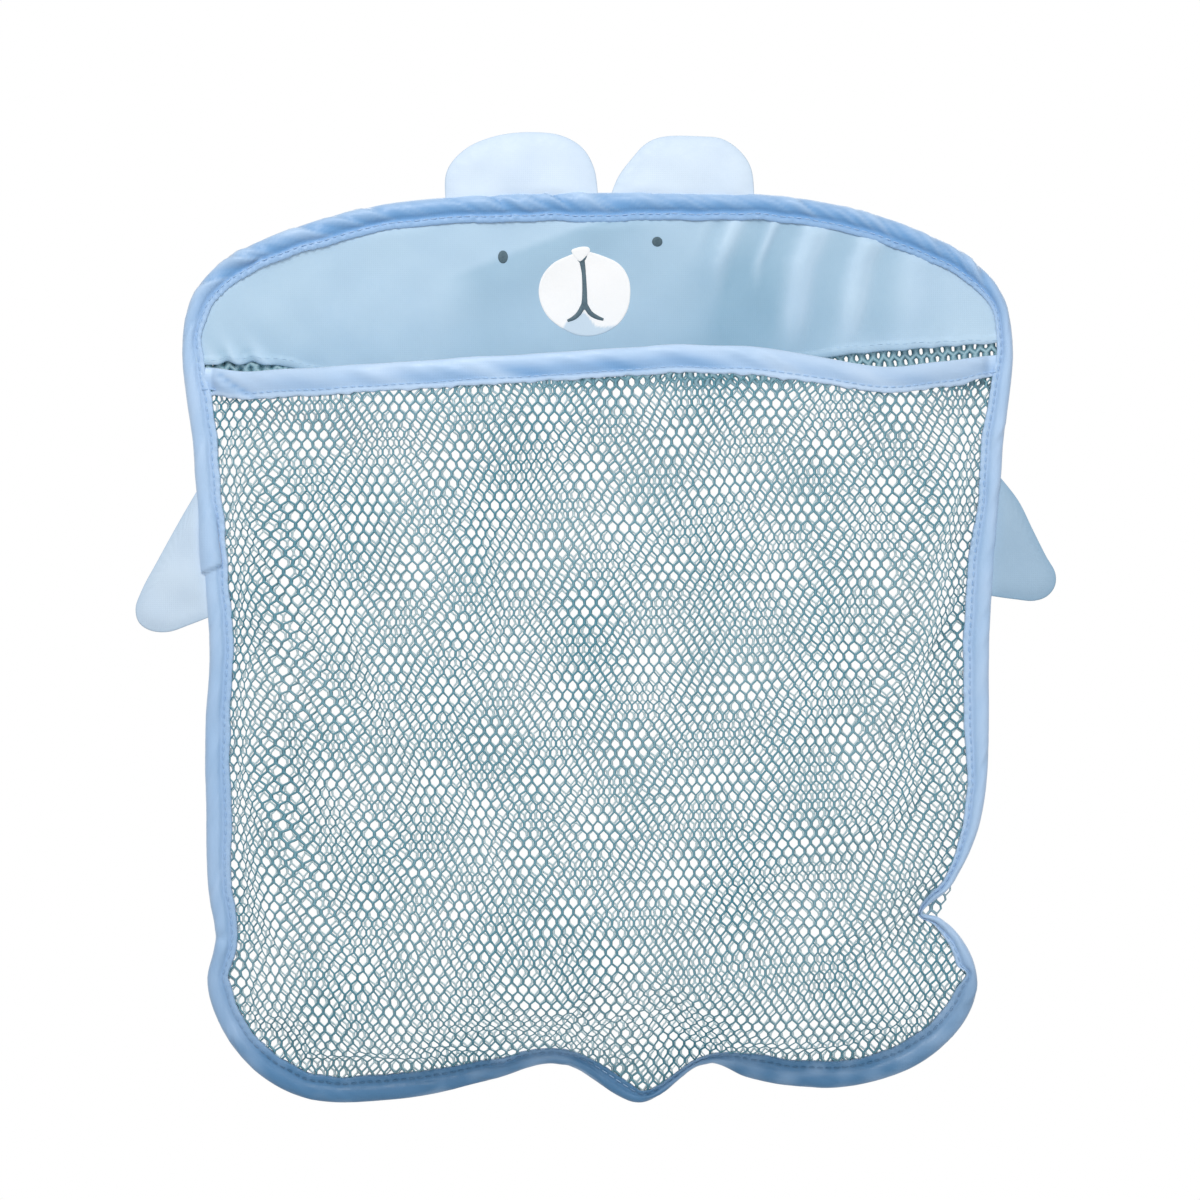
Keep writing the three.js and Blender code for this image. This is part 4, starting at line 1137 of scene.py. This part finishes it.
def let_hang(space, triangles, pinned):
    """Lets the slack net fill and hang from its sewn edge, as simulated cloth."""
    scene = bpy.context.scene
    mesh = bpy.data.meshes.new("slack")
    mesh.from_pydata((space * MM).tolist(), [], triangles.tolist())
    slack = bpy.data.objects.new("slack", mesh)
    scene.collection.objects.link(slack)
    slack.vertex_groups.new(name="sewn").add(np.flatnonzero(pinned).tolist(), 1.0, "REPLACE")
    modifier = slack.modifiers.new("hang", "CLOTH")
    for key, value in HANG_SETTINGS.items():
        setattr(modifier.settings, key, value)
    modifier.settings.effector_weights.gravity = HANG_GRAVITY
    modifier.collision_settings.use_collision = False
    modifier.point_cache.frame_end = HANG_FRAMES
    for step in range(1, HANG_FRAMES + 1):
        scene.frame_set(step)
    evaluated = slack.evaluated_get(bpy.context.evaluated_depsgraph_get())
    settled = np.array([tuple(v.co) for v in evaluated.data.vertices]) / MM
    scene.frame_set(1)
    bpy.data.objects.remove(slack)
    return settled


def cross(first, second):
    """Cross products of vectors in a plane."""
    return first[:, 0] * second[:, 1] - first[:, 1] * second[:, 0]


def surface_over(flat, triangles, space):
    """A function that carries flat places on to the surface in space, with its normals."""
    a, b, c = (space[triangles[:, k]] for k in range(3))
    face_normals = np.cross(b - a, c - a)
    face_normals[face_normals[:, 1] > 0] *= -1
    normals = np.zeros_like(space)
    for k in range(3):
        np.add.at(normals, triangles[:, k], face_normals)
    normals = unit(normals)
    tree = BVHTree.FromPolygons([(x, z, 0.0) for x, z in flat], triangles.tolist())

    def surface(places):
        found = [tree.find_nearest((x, z, 0.0)) for x, z in places]
        near = np.array([tuple(f[0])[:2] for f in found])
        corner = triangles[[f[2] for f in found]]
        p, q, r = (flat[corner[:, k]] for k in range(3))
        area = cross(q - p, r - p)
        u = cross(q - near, r - near) / area
        v = cross(r - near, p - near) / area
        shares = np.column_stack([u, v, 1 - u - v])[..., None]
        points = (space[corner] * shares).sum(1)
        points[:, [0, 2]] += places - near
        return points, unit((normals[corner] * shares).sum(1))

    return surface


def front_net():
    flat, triangles, space, pinned = slack_net()
    space = let_hang(space, triangles, pinned)
    settled = surface_over(flat, triangles, space)
    loops = [inset(np.maximum(RIM_WIDTH - FRONT_NET_TUCK, LEAST_INSET))]

    def top(x):
        return mouth_top(x) - 4.5 - 4 * smoothstep(np.abs(x), 136, 146)

    def gathered(places):
        """Cells crowd together in a slanting fold at the right and along the left side."""
        x, z = places.T
        beside = x - np.interp(-z, [92, 246], [138.5, 115.5])
        span = plateau(-z, 85, 125, 215, 270)
        inner = x - np.interp(-z, [100, 178, 225, 287], [-146, -141, -142, -136])
        crowd = -4.6 * span * beside / 10 * hump(beside, 13)
        crowd = crowd - 5 * hump(inner - 17, 11) * plateau(-z, 85, 125, 250, 300)
        points, normals = settled(np.column_stack([x + crowd, z]))
        points[:, 1] -= 2.6 * span * hump(beside, 6)
        return points, normals

    # Painted shade: the front net is a darker, shaded copy of the back net's yarn, with a little random tone.
    def tone(x, z):
        return 0.86 + 0.04 * soft_noise(x, z, 60, 35)

    cells = hexagons(loops, top, FRONT_NET_TURN)
    made = net_piece("front_net", cells, gathered, lambda x, z: NET_STRAND, tone)
    net_cut(cells, gathered)


front_net()


# Folded tape over the pocket's edge.
def mouth_band():
    x = np.arange(*BAND_ENDS, BAND_STEP)
    column = x[:, None]
    within = 150 - np.abs(x)
    wavy = 0.25 * soft_noise(x, 0 * x, 40, 52) * smoothstep(within, 0, 25)
    y = NET_Y - bulge(x, sewn_top(x)) - wavy
    line = np.column_stack([x, y, mouth_top(x) + 0.25 * soft_noise(x, 0 * x, 34, 51)])
    along = np.gradient(line[:, :2], axis=0)
    out = unit(np.column_stack([along[:, 1], -along[:, 0], np.zeros(len(x))]))
    up = np.tile([0.0, 0.0, 1.0], (len(x), 1))
    pucker = 0.14 * np.cos(2 * np.pi * column / STITCH_PITCH)
    ragged = 0.2 * soft_noise(column, 0 * column, 6, 53)
    tall = 1 + 0.08 * (1 - smoothstep(column, 65, 90)) - 0.16 * smoothstep(column, 134, 148)
    heights, thick, puckered, frayed = BAND_SECTION.T
    uneven = 0.22 * soft_noise(column + 2.2 * heights, heights * 0, 13, 54) * smoothstep(heights, -8, -5)
    beyond = -(column + 136.5 + 1.85 * (heights + 7.5))
    tuck = plateau(beyond, -0.7, 0.5, 3, 16) * smoothstep(-column, 120, 130)
    front = np.stack([
        thick + pucker * puckered + uneven + tuck,
        heights + (ragged + 0.5 * pucker) * frayed,
    ], -1)
    angles = np.radians([25, 60, 90, 120, 155])
    fold = np.column_stack([1.6 * np.cos(angles), 1.3 * np.sin(angles) - 1.3])
    fold, slot = (np.broadcast_to(part, (len(x), len(part), 2)) for part in (fold, BAND_SLOT))
    ring = np.concatenate([front, fold, front[:, ::-1] * [-1, 1], slot], 1)
    ring[..., 0] *= 0.4 + 0.6 * smoothstep(within, 0.5, 5)[:, None]
    ring[..., 1] *= tall
    faces = grid_faces(len(x), ring.shape[1], close_columns=True)
    # A deeper blue as painted light and shade round the section, with more tone in the middle and to the
    # left, random patches, and a painted shadow beside the tuck at the left end.
    shade_and_tone = np.ones(ring.shape[1])
    shade_and_tone[: len(BAND_SHADE)] = BAND_SHADE
    level = 0.2 + 0.1 * (1 - smoothstep(column, 40, 100)) + 0.28 * hump(column - 5, 60)
    shade_and_tone = level * shade_and_tone * (1 + 0.25 * soft_noise(column + 2.2 * ring[..., 1], 0 * ring[..., 1], 26, 55))
    shade_and_tone[:, : len(heights)] += 0.4 * hump(beyond + 1.6, 1.8) * smoothstep(-column, 115, 125)
    made = make_piece("mouth_band", sweep(line, out, up, ring), faces, TAPE, None, np.clip(shade_and_tone, 0, 1))
    stand_for(made, "mouth_band")
    seam = line - up * BAND_SEAM * tall
    seams = seam_pair("band", [seam + out * side * 1.2 for side in (1, -1)], (out, -out), THREAD)
    length = float(distances(line)[-1])


mouth_band()


# Ears and arms: two layers of cloth, turned and pressed flat.
def flap(name, points, start, end, tone):
    """The two layers of a flap. They are sewn together round the edge and puff out between the seams."""
    border = even_steps(catmull_rom(points, 16), 1.2)
    base = border[0] + (border[-1] - border[0]) * np.linspace(0, 1, 26)[1:-1, None]
    loop = np.vstack([border, base[::-1]])
    places = rings_in(loop, FLAP_RINGS)
    x, z = np.moveaxis(places, -1, 0)
    depth = line_distance(places, border)
    puff = 0.3 + 1.35 * (1 - np.exp(-depth / 3.2)) - 0.12 * hump(depth - 1.6, 0.7)
    puff = puff + 0.07 * hump(depth - 2.2, 1.6) * np.sin(np.arange(len(loop)) * 1.45)
    puff = puff + 0.28 * soft_noise(x, z, 24, 61) * smoothstep(depth, 1, 8)
    puff = SEAM_HALF + (puff - SEAM_HALF) * smoothstep(line_distance(places, border[[0, -1]]), 0.5, 6)
    # Painted shade: each flap's own, and more along its sewn edge.
    shade = np.clip(tone + 0.2 * np.exp(-depth / 1.5), 0, 1)
    start, end = (Vector((place[0], BAG_Y, place[1])) * MM for place in (start, end))
    for layer, side, full in (("front", -1, puff), ("back", 1, BACK_PUFF * puff)):
        outer = np.stack([x, BAG_Y + side * full, z], -1)
        inner = np.stack([x, BAG_Y + side * np.maximum(full - CLOTH, 0.02), z], -1)
        made = closed_rings(f"{name}_{layer}", outer, inner, FLAP, shade, flip=side > 0)
        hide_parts(f"{name}_{layer}")
        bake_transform(made)


for flap_name, flap_shape in FLAPS.items():
    flap(flap_name, *flap_shape)


# Face.
def face_y(x, z):
    """Front of the head cloth."""
    return HEAD_Y - head_folds(x, z)


def dome(name, loop, thickness, edge, material, base=0.0, ribs=0.0, shade=None):
    """A flat patch with a rounded edge that follows the cloth under it."""
    places = rings_in(loop, DOME_RINGS)
    x, z = np.moveaxis(places, -1, 0)
    depth = line_distance(places, close(loop))
    height = thickness * np.sqrt(np.clip(1 - (1 - np.clip(depth / edge, 0, 1)) ** 2, 0, 1))
    if ribs:
        height = height + 0.09 * np.sin(2 * np.pi * (z + 0.15 * x) / ribs) * smoothstep(depth, 0, 0.4)
    under = face_y(x, z) - base
    outer = np.stack([x, under - height - 0.04, z], -1)
    inner = np.stack([x, under + 0.12, z], -1)
    made = closed_rings(name, outer, inner, material, None if shade is None else shade(x, z))
    stand_for(made, name)
    return made


def oval(centre, half):
    angles = -round_angles(EYE_SIDES)
    return np.array(centre) + np.column_stack([np.cos(angles), np.sin(angles)]) * np.array(half)


def chin_shadow(x, z):
    """Painted shadow below the mouth, a pale blue over the white muzzle."""
    return 0.9 * smoothstep(np.interp(x, *zip(*CHIN)) - z, -0.3, 0.5)


def stroke(points, widths):
    """Points of an embroidered stroke along a curve, as rows."""
    line = even_steps(catmull_rom(points, 12), 0.4)
    along = unit(np.gradient(line, axis=0))
    normal = np.column_stack([-along[:, 1], along[:, 0]])
    half = np.interp(np.linspace(0, 1, len(line)), np.linspace(0, 1, len(widths)), widths)[:, None]
    angles = np.radians(np.linspace(0, 180, 9))
    places = line[:, None, :] + normal[:, None, :] * (half * np.cos(angles))[..., None]
    ribbed = 1 + 0.16 * np.sin(np.arange(len(line)) * 2.1)[:, None]
    height = 0.55 * np.minimum(half, 0.8) * np.sin(angles) * ribbed
    x, z = np.moveaxis(places, -1, 0)
    return np.stack([x, face_y(x, z) - 0.22 - height, z], -1)


def face():
    patch = catmull_rom(MUZZLE, 8, closed=True)
    muzzle = dome("muzzle_patch", patch, FELT_THICKNESS, 0.3, FELT, shade=chin_shadow)
    patch = catmull_rom(NOSE, 8, closed=True)
    nose = dome("nose_patch", patch, 0.3, 1.2, FELT, base=FELT_THICKNESS)
    for name, (centre, half) in EYES.items():
        dome(name, oval(centre, half), 0.55, 1.2, SLATE, ribs=EYE_RIBS)
    points, faces = [], []
    for line, widths in STROKES:
        made = stroke(line, widths)
        rows, columns = made.shape[:2]
        first = sum(len(p) for p in points)
        faces += grid_faces(rows, columns, close_columns=True, first=first).tolist()
        faces += [cap[::-1] for cap in caps(rows, columns, first)]
        points.append(made.reshape(-1, 3))
    made = make_piece("mouth_embroidery", np.vstack(points), faces, SLATE)
    stand_for(made, "mouth_embroidery")


face()


# Hangers behind the ears.
def suction_cup(name, body, x):
    """A cup turned about its neck, from the hollow at its back to the front of the knob."""
    rim_inner = CUP_RADIUS - CUP_RING
    neck_end = CUP_HEIGHT + NECK_LENGTH
    front = neck_end + KNOB_HEIGHT
    hollow = [(0.01, 1.6), (rim_inner * 0.5, 1.25), (rim_inner * 0.85, 0.4), (rim_inner, 0.05)]
    lip = [(rim_inner + 0.6, 0), (CUP_RADIUS - 0.3, 0), (CUP_RADIUS, 0.3), (CUP_RADIUS - 0.2, 0.7)]
    bell = [(CUP_RADIUS - 0.8, 1.0), (13, 2.1), (9.2, 3.6), (6.2, 5.0), (NECK_RADIUS + 0.3, CUP_HEIGHT + 0.3)]
    knob = [
        (NECK_RADIUS, CUP_HEIGHT + 0.9), (NECK_RADIUS, neck_end - 0.4), (NECK_RADIUS + 0.3, neck_end - 0.05),
        (KNOB_RADIUS - 0.7, neck_end), (KNOB_RADIUS, neck_end + 0.5), (KNOB_RADIUS, front - 1.4),
        (KNOB_RADIUS - 0.5, front - 0.5), (KNOB_RADIUS - 1.6, front),
        (2.5, front - 0.15), (0.01, front - 0.15),
    ]
    profile = np.vstack([hollow, lip, catmull_rom(bell, 5), knob])
    radii, depth = profile.T[..., None]
    angles = round_angles(CUP_SIDES)
    points = np.stack(np.broadcast_arrays(x + radii * np.cos(angles), -depth, radii * np.sin(angles)), -1)
    faces = grid_faces(len(profile), CUP_SIDES, close_columns=True).tolist() + caps(len(profile), CUP_SIDES)
    stand_for(make_piece(name, points, faces, CLEAR), name, body)


def hang_loop(name, middle):
    """A round cord from the back of the rim, over the neck of the cup and back."""
    neck_y = -(CUP_HEIGHT + NECK_LENGTH / 2)
    start_y = BAG_Y + ROLL_HALF
    turn = NECK_RADIUS + LOOP_GAP + LOOP_RADIUS

    def leg(side):
        x = middle + side * LOOP_SPREAD
        z = float(head_edge(x)) - ROLL_HALF
        bend = (middle + side * (turn + LOOP_SPREAD) / 2, neck_y, z / 2)
        return [(x, start_y, z), (x, (2 * start_y + neck_y) / 3, z), bend]

    angles = np.radians([150, 120, 90, 60, 30])
    over = [(middle + turn * math.cos(angle), neck_y, turn * math.sin(angle)) for angle in angles]
    route = even_steps(catmull_rom([*leg(-1), *over, *leg(1)[::-1]], 14), 0.45)
    steps = np.arange(len(route))[:, None]
    angles = round_angles(LOOP_SIDES)
    lay, counter_lay = (np.sin(3 * angles + slant * steps) for slant in (0.9, -0.9))
    braid = LOOP_RADIUS * (1 + 0.09 * lay + 0.05 * counter_lay)
    made = make_piece(name, *tube(route, braid, LOOP_SIDES), CORD)
    stand_for(made, name, "hang_loops")
    length = float(distances(route)[-1])


for side_name, side_x in (("left", -CUP_X), ("right", CUP_X)):
    suction_cup(f"suction_cup_{side_name}", f"cup_{side_name}", side_x)
    hang_loop(f"hang_loop_{side_name}", side_x)


# Camera, light and floor.
def floor():
    """A pale disc that fades out towards its edge."""
    angles = round_angles(FLOOR_SIDES)
    shares = np.linspace(0.02, 1.0, FLOOR_ROWS)[:, None]
    radii = shares * FLOOR_RADIUS
    points = np.broadcast_arrays(radii * np.cos(angles), radii * np.sin(angles) + FLOOR_Y, FLOOR_Z)
    faces = grid_faces(FLOOR_ROWS, FLOOR_SIDES, close_columns=True)[:, ::-1].tolist()
    faces.append(list(range(FLOOR_SIDES)))
    material, tree, shader = start_material("floor_pale")
    connect(tree, shader, {"Base Color": (0.86, 0.86, 0.86, 1), "Roughness": 0.9})
    clear = node(tree, "ShaderNodeBsdfTransparent").outputs[0]
    fade = stretch(tree, mesh_share(tree, "shade"), 0.35, 0.95, 0, 1)
    mix = node(tree, "ShaderNodeMixShader", {0: fade, 1: shader.outputs[0], 2: clear})
    connect(tree, tree.nodes["Material Output"], {"Surface": mix.outputs[0]})
    shade = np.broadcast_to(shares, (FLOOR_ROWS, FLOOR_SIDES))
    make_piece("floor", np.stack(points, -1), faces, material, shade)


def studio():
    scene = bpy.context.scene
    camera = bpy.data.objects.new("camera", bpy.data.cameras.new("camera"))
    scene.collection.objects.link(camera)
    camera.data.sensor_width = SENSOR
    camera.data.lens = SENSOR * CAMERA_DISTANCE / (FRAME_PIXELS / PIXELS_PER_MM * MM)
    view_z = (CUPS_PIXEL_Y - CENTRE_PIXEL) / PIXELS_PER_MM * MM
    camera.location = (0, BAG_Y * MM - CAMERA_DISTANCE, view_z)
    camera.rotation_euler = (math.pi / 2, 0, 0)
    scene.camera = camera
    for name, (place, size, power) in LAMPS.items():
        lamp = bpy.data.lights.new(name, "AREA")
        lamp.size = size
        lamp.energy = power
        lamp_object = bpy.data.objects.new(name, lamp)
        lamp_object.location = place
        aim = Vector((0, 0, view_z)) - Vector(place)
        lamp_object.rotation_euler = aim.to_track_quat("-Z", "Y").to_euler()
        scene.collection.objects.link(lamp_object)
    world = bpy.data.worlds.new("studio")
    world.use_nodes = True
    scene.world = world
    tree = world.node_tree
    rays = node(tree, "ShaderNodeLightPath").outputs
    mirrored = larger(tree, rays["Is Glossy Ray"], rays["Is Transmission Ray"])
    strength = stretch(tree, larger(tree, rays["Is Camera Ray"], mirrored), 0, 1, AMBIENT, 1)
    connect(tree, tree.nodes["Background"], {"Color": (1, 1, 1, 1), "Strength": strength})
    scene.view_settings.view_transform = "Standard"


studio()
floor()
